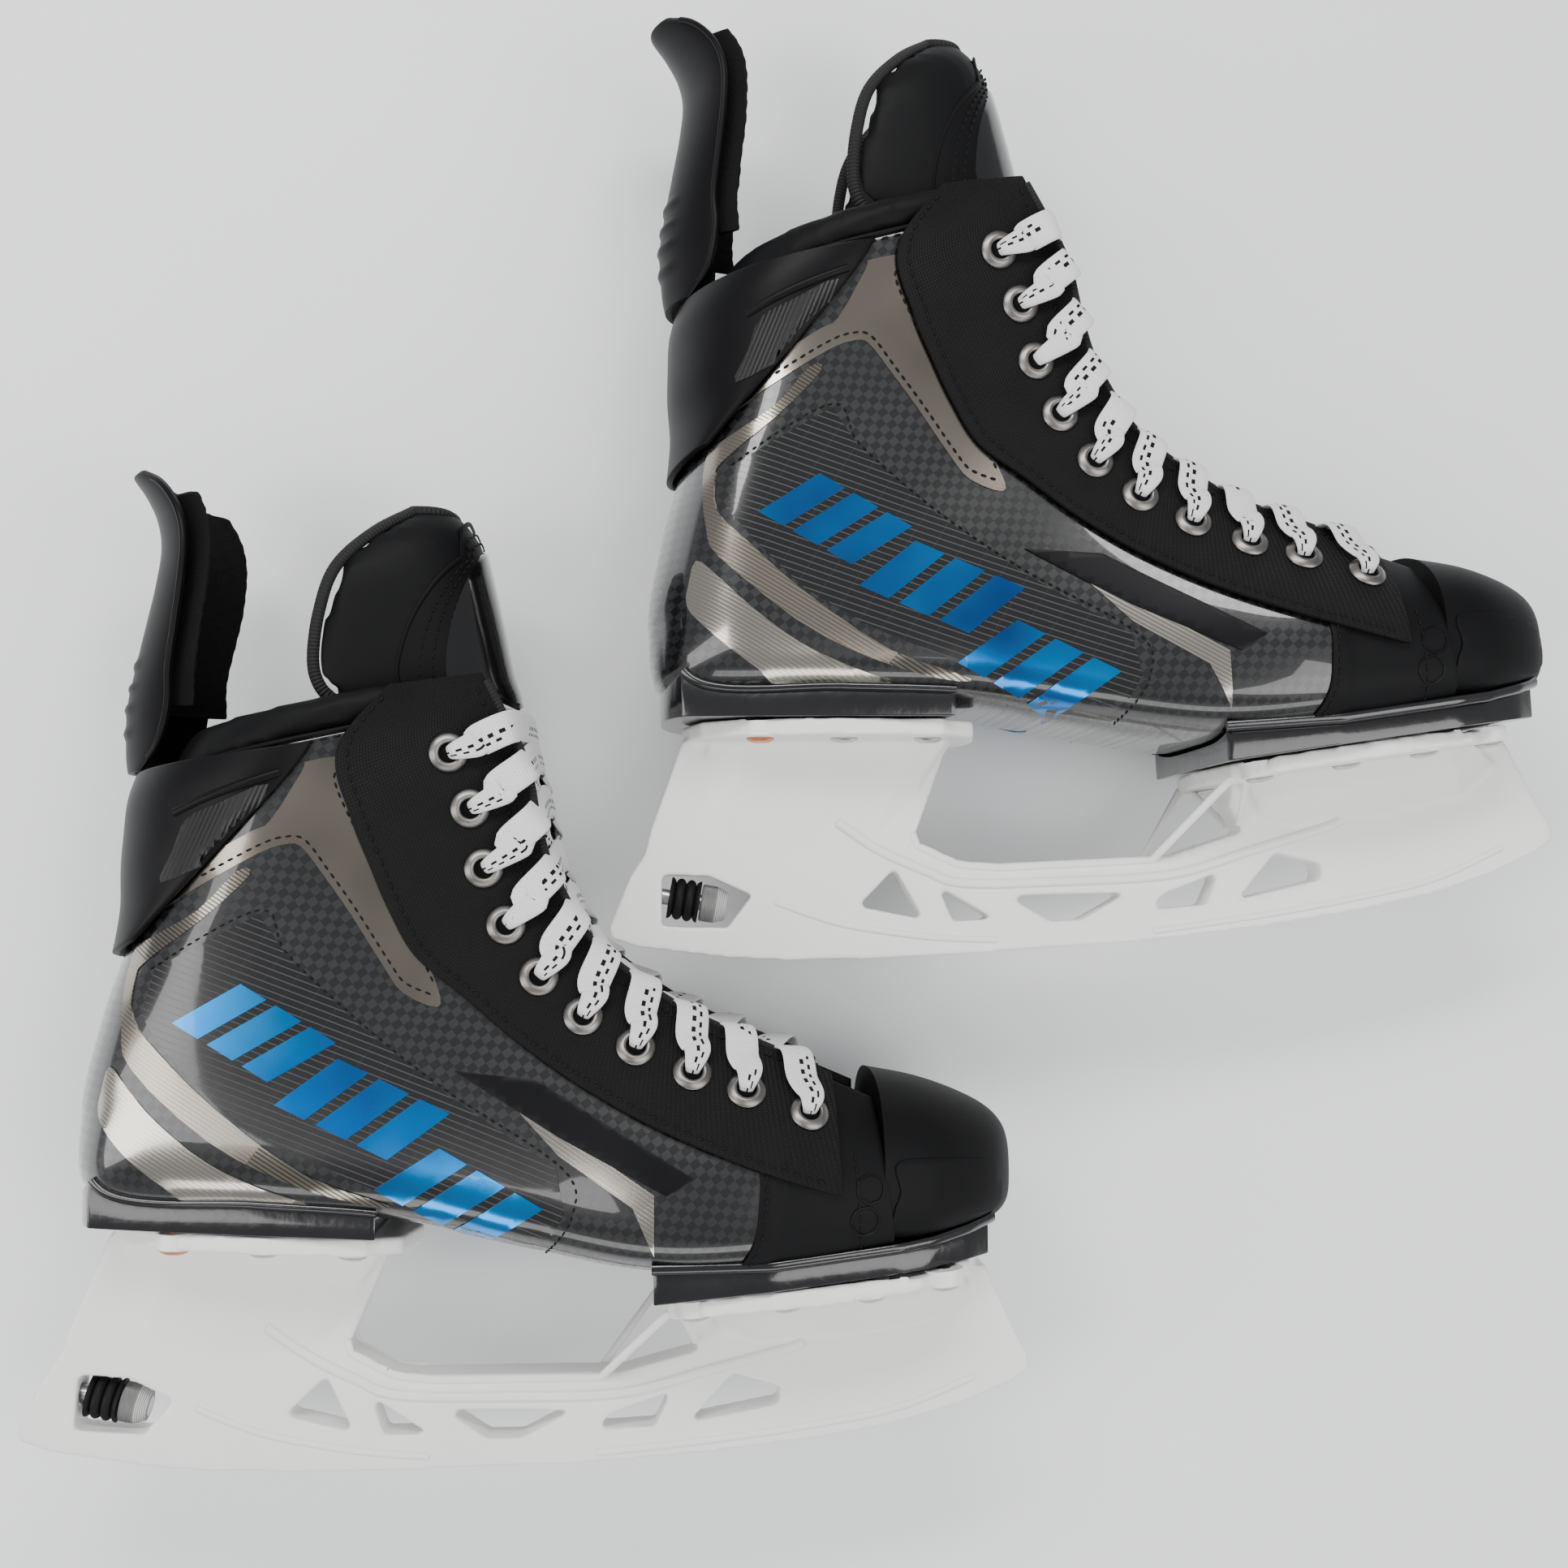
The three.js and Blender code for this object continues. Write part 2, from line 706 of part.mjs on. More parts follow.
function undersidePoint(x, share) {
  let i = 0;
  while (i < underside.length - 2 && x < underside[i + 1].x) i += 1;
  const a = underside[i];
  const b = underside[i + 1];
  const f = (a.x - x) / (a.x - b.x);
  const mix = (key) => a[key] + (b[key] - a[key]) * f;
  const rise = mix('low') * (1 - (1 - Math.abs(share) ** 4) ** 0.25);
  return new THREE.Vector3(alongX(x), upBoot(mix('level')) + rise * 0.8 - clearance - 0.5, share * mix('wide'));
}

function frontSolePiece() {
  const stations = [264, 258, 246, 236, 218, 200, 182, 167];
  const columns = 6;
  const across = (j) => 0.84 * ((2 * j) / columns - 1);
  const top = (i, j) => undersidePoint(stations[i], across(j));
  return sheet(stations.length - 1, columns, (i, j) => onDeck(frontDeck, top(i, j)), top);
}

function footbedPiece() {
  const lines = shellLines.slice(1, 7);
  const columns = 4;
  const line = (j) => 0.25 * ((2 * j) / columns - 1);
  const lift = shellWall + clearance + linerWall + clearance;
  return sheet(
    lines.length - 1,
    columns,
    (i, j) => offSkin(lines[i], line(j), -lift - footbedThickness),
    (i, j) => offSkin(lines[i], line(j), -lift),
  );
}

// ---- lace ----
// One flat lace zigzags up the throat: it leaves each eyelet, passes over the throat edge and the
// tongue, and tucks under the strip that leaves the next eyelet on the other side.
function tongueTop(s) {
  const point = skinPoint(s, 1);
  let best = null;
  for (let i = 0; i < tongueLine.length - 1; i += 1) {
    for (let f = 0; f < 1; f += 0.1) {
      const here = tonguePoint(i, 0, 0).lerp(tonguePoint(i + 1, 0, 0), f);
      const gap = Math.hypot(here.x - point.x, here.y - point.y);
      if (!best || gap < best.gap) best = { gap, here, normal: lineNormal(tongueLine, i) };
    }
  }
  return best;
}

function lacePiece() {
  const strips = [];
  const lift = laceThickness / 2 + clearance;
  const overEdge = (s, side) => offSkin(s, side * 1.03, ringOffset + lift + 2);
  const crown = (s, side) => {
    const top = tongueTop(s);
    return top.here.addScaledVector(top.normal, lift + 1.3 + side * 0.3);
  };
  const ribOf = (i) => (i < eyeletCount ? eyeletAt[i] : eyeletAt[eyeletCount - 1] + 0.45);
  const edgeRib = (i) => ribOf(i) + (ribOf(Math.min(i + 1, eyeletCount)) - ribOf(i)) * 0.25;
  const crownRib = (i) => ribOf(i) + (ribOf(Math.min(i + 1, eyeletCount)) - ribOf(i)) * 0.55;
  for (let i = 0; i < eyeletCount; i += 1) {
    for (const side of [1, -1]) {
      const v = side * inFromThroat(ribOf(i), eyeletInset - eyeletBore);
      const start = offSkin(ribOf(i), v, ringOffset + eyeletHeight + lift + 0.5);
      const edge = overEdge(edgeRib(i), side);
      const far = overEdge(edgeRib(i + 1), -side).lerp(crown(crownRib(i + 1), -side), 0.3);
      const along = skinPoint(ribOf(i) + 0.05, v).sub(skinPoint(ribOf(i) - 0.05, v)).normalize();
      const ahead = skinPoint(edgeRib(i) + 0.05, 1).sub(skinPoint(edgeRib(i) - 0.05, 1)).setZ(0).normalize();
      strips.push(band([start, edge, crown(crownRib(i), side), far], [along, along, ahead, ahead], laceWidth, laceThickness));
    }
  }
  return fromSolid(joined(strips));
}

// ---- holder ----
function outline(points) {
  return new THREE.Shape(points.map(([x, y]) => new THREE.Vector2(alongX(x), upHolder(y))));
}

const holderSide = [
  [-17, 13], [-16, 10], [-8, 7], [4, 5], [19, 2.5], [36, 0.8], [58, 0], [100, 0], [150, 1], [185, 3.5],
  [216, 7], [240, 11], [258, 16], [273, 22], [279, 26], [279, 30], [275, 37], [266, 57], [178, 49],
  [176, 41], [180, 33], [157, 27], [98, 27], [91, 28], [77, 35], [90, 66], [8, 69], [2, 54], [-3, 42],
  [-5, 35], [-10, 28],
];
const trussOpenings = [
  [[71, 27], [59, 16], [79, 11]],
  [[84, 21], [101, 10], [88, 10]],
  [[105, 17], [143, 16], [128, 8.5], [118, 8.5]],
  [[172, 21], [167, 11], [150, 10.5], [154, 15]],
  [[190, 26], [204, 22], [204, 17], [177, 12]],
];
const lockWindow = [[0, 28.5], [14, 27.5], [27, 21], [19, 11.5], [-1, 13]];

// Where the runner lock sits: the middle of the sleeve and the direction of the screw.
const lockCentre = new THREE.Vector3(alongX(7), upHolder(20.5), 0);
const lockDirection = new THREE.Vector3(0.978, -0.208, 0);

function lockPoint(along) {
  return lockCentre.clone().addScaledVector(lockDirection, along);
}

// A ring seen from above: squarish at the waist of the foot, rounder at the heel or the toe.
function planRing(x0, x1, half, level, slope) {
  const points = [];
  const steps = 12;
  const roundEnd = slope > 0 ? 1 : -1;
  for (let k = 0; k < steps; k += 1) {
    const angle = (2 * Math.PI * k) / steps;
    const bend = Math.cos(angle) * roundEnd > 0 ? 0.85 : 0.5;
    const cx = Math.sign(Math.cos(angle)) * Math.abs(Math.cos(angle)) ** bend;
    const cz = Math.sign(Math.sin(angle)) * Math.abs(Math.sin(angle)) ** bend;
    const x = (x0 + x1) / 2 + (cx * (x1 - x0)) / 2;
    points.push(new THREE.Vector3(x, level + (x - x0) * slope, cz * half));
  }
  return points;
}

function flange(deck, half) {
  const x0 = alongX(deck.from);
  const x1 = alongX(deck.to);
  const top = deckLevel(deck, x0);
  return loft([
    planRing(x0, x1, half, top - flangeThickness, deck.slope),
    planRing(x0, x1, half, top, deck.slope),
  ]);
}

function pedestal(levels, deck) {
  return loft(levels.map(([x0, x1, half, drop]) => {
    const start = alongX(x0);
    return planRing(start, alongX(x1), half, deckLevel(deck, start) - flangeThickness - drop + 1, deck.slope);
  }));
}

const rearFlangeHalf = heelHalfWidth - 7;
const frontFlangeHalf = forefootHalfWidth - 9;
const rearRivets = [[56, 23], [81, 23]];
const copperRivets = [[31, 23]];
const frontRivets = [[178, 30], [204, 32], [228, 32], [250, 28]];

function rivetSpot(deck, [x, z], side) {
  const place = alongX(x);
  return new THREE.Vector3(place, deckLevel(deck, place), side * z);
}

function rivetPlateBlock(deck, spots, extra) {
  const xs = spots.map((spot) => alongX(spot[0]));
  const zs = spots.map((spot) => spot[1]);
  const reach = rivetRadius + 1.4 + extra;
  const x0 = Math.min(...xs) - reach;
  const x1 = Math.max(...xs) + reach;
  const half = Math.max(...zs) + reach;
  const length = (x1 - x0) / Math.cos(Math.atan(deck.slope));
  const geometry = new THREE.BoxGeometry(length, rivetPlate + extra * 2, half * 2);
  geometry.rotateZ(Math.atan(deck.slope));
  const middle = (x0 + x1) / 2;
  geometry.translate(middle, deckLevel(deck, middle) - rivetPlate / 2, 0);
  return geometry;
}

function rivetPin(deck, spot, side, radius, top, bottom) {
  const up = new THREE.Vector3(-deck.slope, 1, 0).normalize();
  const profile = [[0, bottom], [radius, bottom], [radius, top], [0, top]];
  return turned(profile, 6, rivetSpot(deck, spot, side), up);
}

function rivetGroup(deck, spots) {
  const pieces = [rivetPlateBlock(deck, spots, 0)];
  for (const spot of spots) {
    for (const side of [1, -1]) {
      const under = -flangeThickness - clearance;
      pieces.push(rivetPin(deck, spot, side, rivetRadius, -rivetPlate / 2, under - 0.2));
      pieces.push(rivetPin(deck, spot, side, rivetHeadRadius, under, under - rivetHeadHeight));
    }
  }
  return fromSolid(joined(pieces));
}

function holderPiece() {
  let solid = joined([
    plateOf(outline(holderSide), railHalfWidth),
    flange(rearDeck, rearFlangeHalf),
    flange(frontDeck, frontFlangeHalf),
    pedestal([[2, 72, railHalfWidth - 0.2, 36], [8, 84, 11, 12], [12, 92, 15, 0]], rearDeck),
    pedestal([[186, 270, railHalfWidth - 0.2, 18], [181, 266, 13, 7], [176, 258, 20, 0]], frontDeck),
  ]);
  for (const points of trussOpenings) solid = solid.subtract(toSolid(plateOf(outline(points), 20)));
  solid = solid.subtract(toSolid(plateOf(outline(lockWindow), 20)));
  const slotFloor = upHolder(runnerDepth);
  const slot = block(alongX(40), alongX(150), -5, slotFloor, -runnerWidth / 2, runnerWidth / 2);
  const frontSlot = block(alongX(149), alongX(283), -5, slotFloor, -runnerWidth / 2, runnerWidth / 2);
  frontSlot.translate(-alongX(149), -slotFloor, 0);
  frontSlot.rotateZ(0.115);
  frontSlot.translate(alongX(149), slotFloor, 0);
  const rearSlot = block(alongX(-28), alongX(41), -9, slotFloor, -runnerWidth / 2, runnerWidth / 2);
  rearSlot.translate(-alongX(41), -slotFloor, 0);
  rearSlot.rotateZ(-0.07);
  rearSlot.translate(alongX(41), slotFloor, 0);
  for (const cut of [slot, frontSlot, rearSlot]) solid = solid.subtract(toSolid(cut));
  const bore = [[0, -30], [screwRadius + clearance, -30], [screwRadius + clearance, 0], [0, 0]];
  solid = solid.subtract(toSolid(turned(bore, 12, lockCentre, lockDirection)));
  const seat = screwHeadRadius + clearance;
  const headPocket = [[0, -40], [seat, -40], [seat, -13], [0, -13]];
  solid = solid.subtract(toSolid(turned(headPocket, 12, lockCentre, lockDirection)));
  for (const [deck, spots] of [[rearDeck, rearRivets], [rearDeck, copperRivets], [frontDeck, frontRivets]]) {
    solid = solid.subtract(toSolid(rivetPlateBlock(deck, spots, clearance)));
    for (const spot of spots) {
      for (const side of [1, -1]) {
        solid = solid.subtract(toSolid(rivetPin(deck, spot, side, rivetRadius + clearance, 1, -flangeThickness - 1)));
      }
    }
  }
  return fromSolid(solid);
}

// ---- runner lock: screw, rubber sleeve and threaded barrel ----
function screwPiece() {
  const head = -13 - clearance;
  const socket = 2;
  return turned([
    [0, head - screwHeadHeight + 2],
    [socket, head - screwHeadHeight + 2],
    [socket, head - screwHeadHeight],
    [screwHeadRadius, head - screwHeadHeight],
    [screwHeadRadius, head],
    [screwRadius, head],
    [screwRadius, sleeveEnd + 5],
    [0, sleeveEnd + 5],
  ], 12, lockCentre, lockDirection);
}

const sleeveStart = -5.5;
const sleeveEnd = 4;

function sleevePiece() {
  const bore = screwRadius + clearance;
  const profile = [[bore, sleeveStart], [sleeveRadius, sleeveStart]];
  const folds = 3;
  const fold = (sleeveEnd - sleeveStart) / folds;
  for (let i = 0; i < folds; i += 1) {
    profile.push([sleeveRadius, sleeveStart + fold * (i + 0.45)]);
    if (i < folds - 1) profile.push([sleeveRadius - 1.6, sleeveStart + fold * (i + 0.75)]);
    if (i < folds - 1) profile.push([sleeveRadius, sleeveStart + fold * (i + 1)]);
  }
  profile.push([sleeveRadius - 1, sleeveEnd], [bore, sleeveEnd], [bore, sleeveStart]);
  return turned(profile, 12, lockCentre, lockDirection);
}

function barrelPiece() {
  const bore = screwRadius + clearance;
  const start = sleeveEnd + clearance;
  return turned([
    [bore, start],
    [barrelRadius, start],
    [barrelRadius, start + barrelLength * 0.5],
    [barrelRadius - 1.6, start + barrelLength],
    [bore, start + barrelLength],
    [bore, start],
  ], 12, lockCentre, lockDirection);
}

// ---- the pair ----
const finish = {
  carbon: { color: 0x101113, roughness: 0.2, metalness: 0.2 },
  matteBlack: { color: 0x17171a, roughness: 0.75, metalness: 0 },
  glossBlack: { color: 0x0c0c0e, roughness: 0.25, metalness: 0 },
  nylon: { color: 0x222225, roughness: 0.85, metalness: 0 },
  felt: { color: 0x1b1b1d, roughness: 0.95, metalness: 0 },
  white: { color: 0xf0f0ea, roughness: 0.3, metalness: 0 },
  lace: { color: 0xececec, roughness: 0.9, metalness: 0 },
  nickel: { color: 0x6f6a64, roughness: 0.35, metalness: 0.9 },
  steel: { color: 0xb5b5b2, roughness: 0.3, metalness: 0.95 },
  copper: { color: 0xb4694a, roughness: 0.35, metalness: 0.95 },
  rubber: { color: 0x121212, roughness: 0.7, metalness: 0 },
};

function swing(geometry, side) {
  const p = geometry.attributes.position;
  for (let i = 0; i < p.count; i += 1) {
    const f = Math.max((p.getX(i) - alongX(110)) / (bootLength - alongX(110)), 0);
    p.setZ(i, p.getZ(i) - side * toeSwing * f * f);
  }
  return geometry;
}

function makeSkate(prefix, side) {
  const skate = new THREE.Group();
  const add = (name, geometry, look) => {
    const mesh = new THREE.Mesh(geometry, new THREE.MeshStandardMaterial(finish[look]));
    mesh.name = `${prefix}_${name}`;
    skate.add(mesh);
  };
  const addBoot = (name, geometry, look) => add(name, swing(geometry, side), look);
  addBoot('shell', shellPiece(), 'carbon');
  addBoot('liner', linerPiece(), 'felt');
  addBoot('cuff', cuffPiece(), 'matteBlack');
  addBoot('toe_wrap', toeWrapPiece(), 'matteBlack');
  addBoot('toe_cap', toeCapPiece(), 'matteBlack');
  addBoot('upper_eyestay', eyestayPiece(1), 'nylon');
  addBoot('lower_eyestay', eyestayPiece(-1), 'nylon');
  addBoot('upper_eyelets', eyeletRow(1), 'nickel');
  addBoot('lower_eyelets', eyeletRow(-1), 'nickel');
  addBoot('tongue', lowerTonguePiece(), 'matteBlack');
  addBoot('tongue_top', upperTonguePiece(), 'matteBlack');
  addBoot('tongue_plate', tonguePlatePiece(), 'glossBlack');
  addBoot('guard_base', guardBasePiece(), 'matteBlack');
  addBoot('tendon_guard', guardPiece(), 'matteBlack');
  addBoot('guard_felt', guardFeltPiece(), 'felt');
  addBoot('heel_outsole', heelSolePiece(), 'glossBlack');
  addBoot('front_outsole', frontSolePiece(), 'glossBlack');
  addBoot('footbed', footbedPiece(), 'felt');
  addBoot('lace', lacePiece(), 'lace');
  add('holder', holderPiece(), 'white');
  add('rear_rivets', rivetGroup(rearDeck, rearRivets), 'steel');
  add('copper_rivets', rivetGroup(rearDeck, copperRivets), 'copper');
  add('front_rivets', rivetGroup(frontDeck, frontRivets), 'steel');
  add('lock_screw', screwPiece(), 'steel');
  add('lock_sleeve', sleevePiece(), 'rubber');
  add('lock_barrel', barrelPiece(), 'steel');
  return skate;
}

const pair = new THREE.Group();
const right = makeSkate('right', 1);
const left = makeSkate('left', -1);
left.rotation.z = leftTurn;
left.position.set(leftForward, leftUp, 0);
pair.add(right, left);

// Both skates lie on the table, and the pair's middle stands over the origin.
for (const skate of [right, left]) {
  skate.updateMatrixWorld(true);
  skate.position.z -= new THREE.Box3().setFromObject(skate).min.z;
}
pair.updateMatrixWorld(true);
const middle = new THREE.Box3().setFromObject(pair).getCenter(new THREE.Vector3());
pair.position.set(-middle.x, -middle.y, 0);

export default pair;
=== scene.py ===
import bmesh
import bpy
import json
import math
from mathutils import Matrix, Vector
from mathutils.bvhtree import BVHTree


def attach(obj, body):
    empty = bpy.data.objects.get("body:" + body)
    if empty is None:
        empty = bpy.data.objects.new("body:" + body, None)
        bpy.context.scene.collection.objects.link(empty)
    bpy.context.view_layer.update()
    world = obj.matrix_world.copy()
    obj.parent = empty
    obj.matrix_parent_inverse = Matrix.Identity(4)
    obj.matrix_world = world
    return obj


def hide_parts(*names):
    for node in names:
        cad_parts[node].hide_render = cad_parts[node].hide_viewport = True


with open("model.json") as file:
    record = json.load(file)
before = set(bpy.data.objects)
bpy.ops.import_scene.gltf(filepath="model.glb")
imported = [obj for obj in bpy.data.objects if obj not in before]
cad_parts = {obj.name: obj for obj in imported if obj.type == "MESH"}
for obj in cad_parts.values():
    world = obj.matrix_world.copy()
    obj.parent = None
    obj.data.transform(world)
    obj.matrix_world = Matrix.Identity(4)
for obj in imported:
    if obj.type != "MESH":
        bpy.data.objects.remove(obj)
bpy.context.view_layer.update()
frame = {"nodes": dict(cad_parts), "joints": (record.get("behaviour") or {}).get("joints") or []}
mm = 0.001

# Every piece is modelled once, for the right skate in its own frame: X from heel to toe, Y from
# the runner up to the cuff, Z across. Sizes are in millimetres until a point is placed.
drawnSpots = {"screw": Vector((7, 20.5)), "guard": Vector((7.5, 203.3))}
fixedBody = "boots_and_holders"


class Skate:
    def __init__(self, name, side):
        spots = {joint["name"]: Vector(joint["pos_m"]) for joint in frame["joints"] if "pos_m" in joint}
        screw = spots[name + "_screw_turn"]
        span = spots[name + "_guard_flex"] - screw
        drawnSpan = drawnSpots["guard"] - drawnSpots["screw"]
        self.name = name
        self.side = side
        self.turn = math.atan2(span.y, span.x) - math.atan2(drawnSpan.y, drawnSpan.x)
        self.origin = screw - Matrix.Rotation(self.turn, 3, "Z") @ (drawnSpots["screw"].to_3d() * mm)

    def matrix(self):
        turned = Matrix.Translation(self.origin) @ Matrix.Rotation(self.turn, 4, "Z")
        return turned @ Matrix.Diagonal((1, 1, self.side, 1))


skates = [Skate("right", 1), Skate("left", -1)]

# ---- camera, light and floor ----
view = {"lens": 42.26, "lookAt": (205.7, 202, 0), "distance": 566, "tilt": 3.9, "swing": 3.8}


def addCamera():
    tilt = math.radians(view["tilt"])
    swing = math.radians(view["swing"])
    ahead = Vector((math.sin(swing) * math.cos(tilt), math.sin(tilt), -math.cos(tilt) * math.cos(swing)))
    across = ahead.cross(Vector((0, 1, 0))).normalized()
    above = across.cross(ahead)
    bpy.ops.object.camera_add()
    camera = bpy.context.object
    camera.data.lens = view["lens"]
    camera.data.sensor_width = 36
    turn = Matrix((across, above, -ahead)).transposed().to_4x4()
    target = skates[0].matrix() @ (Vector(view["lookAt"]) * mm)
    camera.matrix_world = Matrix.Translation(target - ahead * view["distance"] * mm) @ turn
    bpy.context.scene.camera = camera


lamps = [
    {"at": (-0.15, 0.55, 0.75), "size": (0.9, 0.25), "watts": 8},
    {"at": (0.55, -0.25, 0.85), "size": (0.5, 0.9), "watts": 6},
    {"at": (-0.7, -0.2, 0.6), "size": (0.35, 1.0), "watts": 5},
    {"at": (0.1, -0.8, 0.5), "size": (1.2, 0.25), "watts": 3},
]


def addLamps():
    for lamp in lamps:
        bpy.ops.object.light_add(type="AREA", location=lamp["at"])
        light = bpy.context.object
        light.data.shape = "RECTANGLE"
        light.data.size, light.data.size_y = lamp["size"]
        light.data.energy = lamp["watts"]
        light.rotation_euler = (-Vector(lamp["at"])).to_track_quat("-Z", "Y").to_euler()
    world = bpy.data.worlds.new("studio")
    bpy.context.scene.world = world
    world.use_nodes = True
    world.node_tree.nodes["Background"].inputs["Color"].default_value = (0.95, 0.97, 1, 1)
    world.node_tree.nodes["Background"].inputs["Strength"].default_value = 0.4


# ---- materials ----
class Value:
    def __init__(self, finish, socket):
        self.finish = finish
        self.socket = socket

    def math(self, operation, *others):
        values = dict(enumerate((self,) + others))
        return self.finish.node("Math", {"operation": operation}, values)

    def __add__(self, other):
        return self.math("ADD", other)

    def __sub__(self, other):
        return self.math("SUBTRACT", other)

    def __rsub__(self, other):
        return (self * -1) + other

    def __mul__(self, other):
        return self.math("MULTIPLY", other)

    def __truediv__(self, other):
        return self.math("DIVIDE", other)

    def __gt__(self, other):
        return self.math("GREATER_THAN", other)

    def __lt__(self, other):
        return self.math("LESS_THAN", other)

    __radd__ = __add__
    __rmul__ = __mul__

    def fraction(self):
        return self.math("FRACT")

    def whole(self):
        return self.math("FLOOR")

    def size(self):
        return self.math("ABSOLUTE")


class Finish:
    def __init__(self, name, **fixed):
        self.material = bpy.data.materials.new(name)
        self.material.use_nodes = True
        self.tree = self.material.node_tree
        self.shader = self.tree.nodes["Principled BSDF"]
        for label, value in fixed.items():
            self.put(label, value)

    def put(self, label, value):
        socket = self.shader.inputs[label.replace("_", " ")]
        if isinstance(value, Value):
            self.tree.links.new(value.socket, socket)
        elif isinstance(value, tuple):
            socket.default_value = (*value, 1)
        else:
            socket.default_value = value

    def node(self, kind, settings=None, values=None, output=0):
        node = self.tree.nodes.new("ShaderNode" + kind)
        for label, setting in (settings or {}).items():
            if label == "stops":
                fillRamp(node.color_ramp, setting)
            else:
                setattr(node, label, setting)
        for label, value in (values or {}).items():
            socket = node.inputs[label]
            if isinstance(value, Value):
                self.tree.links.new(value.socket, socket)
            else:
                socket.default_value = value
        return Value(self, node.outputs[output])

    def uv(self):
        map = self.node("UVMap", {"uv_map": "UVMap"})
        return [self.node("SeparateXYZ", None, {0: map}, axis) for axis in (0, 1)]

    def point(self):
        return self.node("TexCoord", None, None, "Object")

    def noise(self, scale, detail=3, where=None):
        place = where or self.point()
        return self.node("TexNoise", None, {"Vector": place, "Scale": scale, "Detail": detail})

    def mix(self, amount, first, second):
        values = {"Factor": amount, "A": first, "B": second}
        node = self.tree.nodes.new("ShaderNodeMix")
        node.data_type = "RGBA"
        sockets = {"Factor": node.inputs[0], "A": node.inputs[6], "B": node.inputs[7]}
        for label, value in values.items():
            if isinstance(value, Value):
                self.tree.links.new(value.socket, sockets[label])
            else:
                sockets[label].default_value = (*value, 1) if isinstance(value, tuple) else value
        return Value(self, node.outputs[2])

    def bump(self, height, strength, distance, under=None):
        values = {"Height": height, "Strength": strength, "Distance": distance * mm}
        if under:
            values["Normal"] = under
        normal = self.node("Bump", None, values)
        self.put("Normal", normal)
        return normal


def fillRamp(ramp, stops):
    while len(ramp.elements) < len(stops):
        ramp.elements.new(0.5)
    for element, (position, color) in zip(ramp.elements, stops):
        element.position = position
        element.color = (*color, 1)


def carbonFinish():
    look = Finish("carbon", Coat_Weight=1.0, Coat_Roughness=0.03, IOR=1.5)
    x, y = look.uv()
    a = (x * 0.82 + y * 0.57) / 2.6
    b = (y * 0.82 - x * 0.57) / 4.4
    row = (a.whole() * 0.5).fraction()
    block = (b + row).fraction() > 0.5
    cell = ((a.fraction() - 0.5).size() > 0.44)
    cloud = look.noise(28, 4)
    shade = (block * 0.8 + 0.12) * (1 - cell * 0.8) * (cloud - 0.32)
    look.put("Base Color", look.mix(shade, (0.0015, 0.0016, 0.002), (0.014, 0.014, 0.016)))
    look.put("Roughness", block * 0.12 + 0.26)
    look.bump(look.noise(900, 2), 0.04, 0.05)
    return look.material


def matteFinish(name, tone, rough, grain, depth):
    look = Finish(name, Roughness=rough, Specular_IOR_Level=0.12)
    cloud = look.noise(40, 4)
    look.put("Base Color", look.mix(cloud, tuple(c * 0.75 for c in tone), tuple(c * 1.2 for c in tone)))
    look.put("Roughness", cloud * 0.12 + (rough - 0.06))
    look.bump(look.noise(grain, 4), 0.25, depth)
    return look.material


def nylonFinish():
    look = Finish("nylon", Roughness=0.8, Specular_IOR_Level=0.15)
    x, y = look.uv()
    a = (x + y * 0.5) / 0.95
    b = y / 0.8
    shift = (b.whole() * 0.5).fraction()
    across = ((a + shift).fraction() - 0.5).size()
    along = (b.fraction() - 0.5).size()
    thread = (1 - across * 2.1) * (1 - along * 2.2)
    cloud = look.noise(90, 3)
    # The colour is partly random tone from the noise and partly painted shade: darker in the low gaps between
    # threads and lighter on the raised thread crowns.
    light = thread * 0.9 + cloud * 0.2
    look.put("Base Color", look.mix(light, (0.0015, 0.0015, 0.0018), (0.021, 0.0205, 0.02)))
    look.put("Roughness", 0.75 - thread * 0.3)
    look.bump(thread, 0.9, 0.35)
    return look.material


def feltFinish(name="felt", tone=(0.005, 0.005, 0.0055)):
    look = Finish(name, Roughness=0.97, Specular_IOR_Level=0.15)
    fuzz = look.noise(1500, 5)
    look.put("Base Color", look.mix(fuzz, tuple(c * 0.5 for c in tone), tuple(c * 1.8 for c in tone)))
    look.put("Roughness", fuzz * 0.1 + 0.88)
    look.bump(fuzz, 0.8, 0.5)
    return look.material


def glossFinish(name, tone, rough, crinkle=0.0):
    look = Finish(name, Roughness=rough, Coat_Weight=0.6, Coat_Roughness=0.08)
    cloud = look.noise(60, 4)
    look.put("Base Color", look.mix(cloud, tuple(c * 0.7 for c in tone), tuple(c * 1.3 for c in tone)))
    look.put("Roughness", cloud * 0.1 + rough)
    if crinkle:
        look.bump(look.noise(190, 3), 0.5, crinkle)
    return look.material


def foilFinish(name, dark, light, rough, spread, lines=0.0):
    look = Finish(name, Metallic=1.0, Roughness=rough, Coat_Weight=0.7, Coat_Roughness=0.04)
    x, y = look.uv()
    # Painted sheen: the foil colour runs from its dark to its light tone along a noise sweep, standing in for
    # the glossy gradient of reflections.
    sweep = look.noise(spread, 2)
    look.put("Base Color", look.mix((sweep - 0.3) * 2.4, dark, light))
    if lines:
        stripe = ((x * 0.55 + y * 0.83) / 1.1).fraction() > 0.62
        fade = look.noise(14, 1) > 0.5
        look.put("Base Color", look.mix(stripe * lines * fade, light, dark))
        look.put("Roughness", stripe * 0.1 + rough)
    look.bump(look.noise(500, 2), 0.03, 0.05)
    return look.material


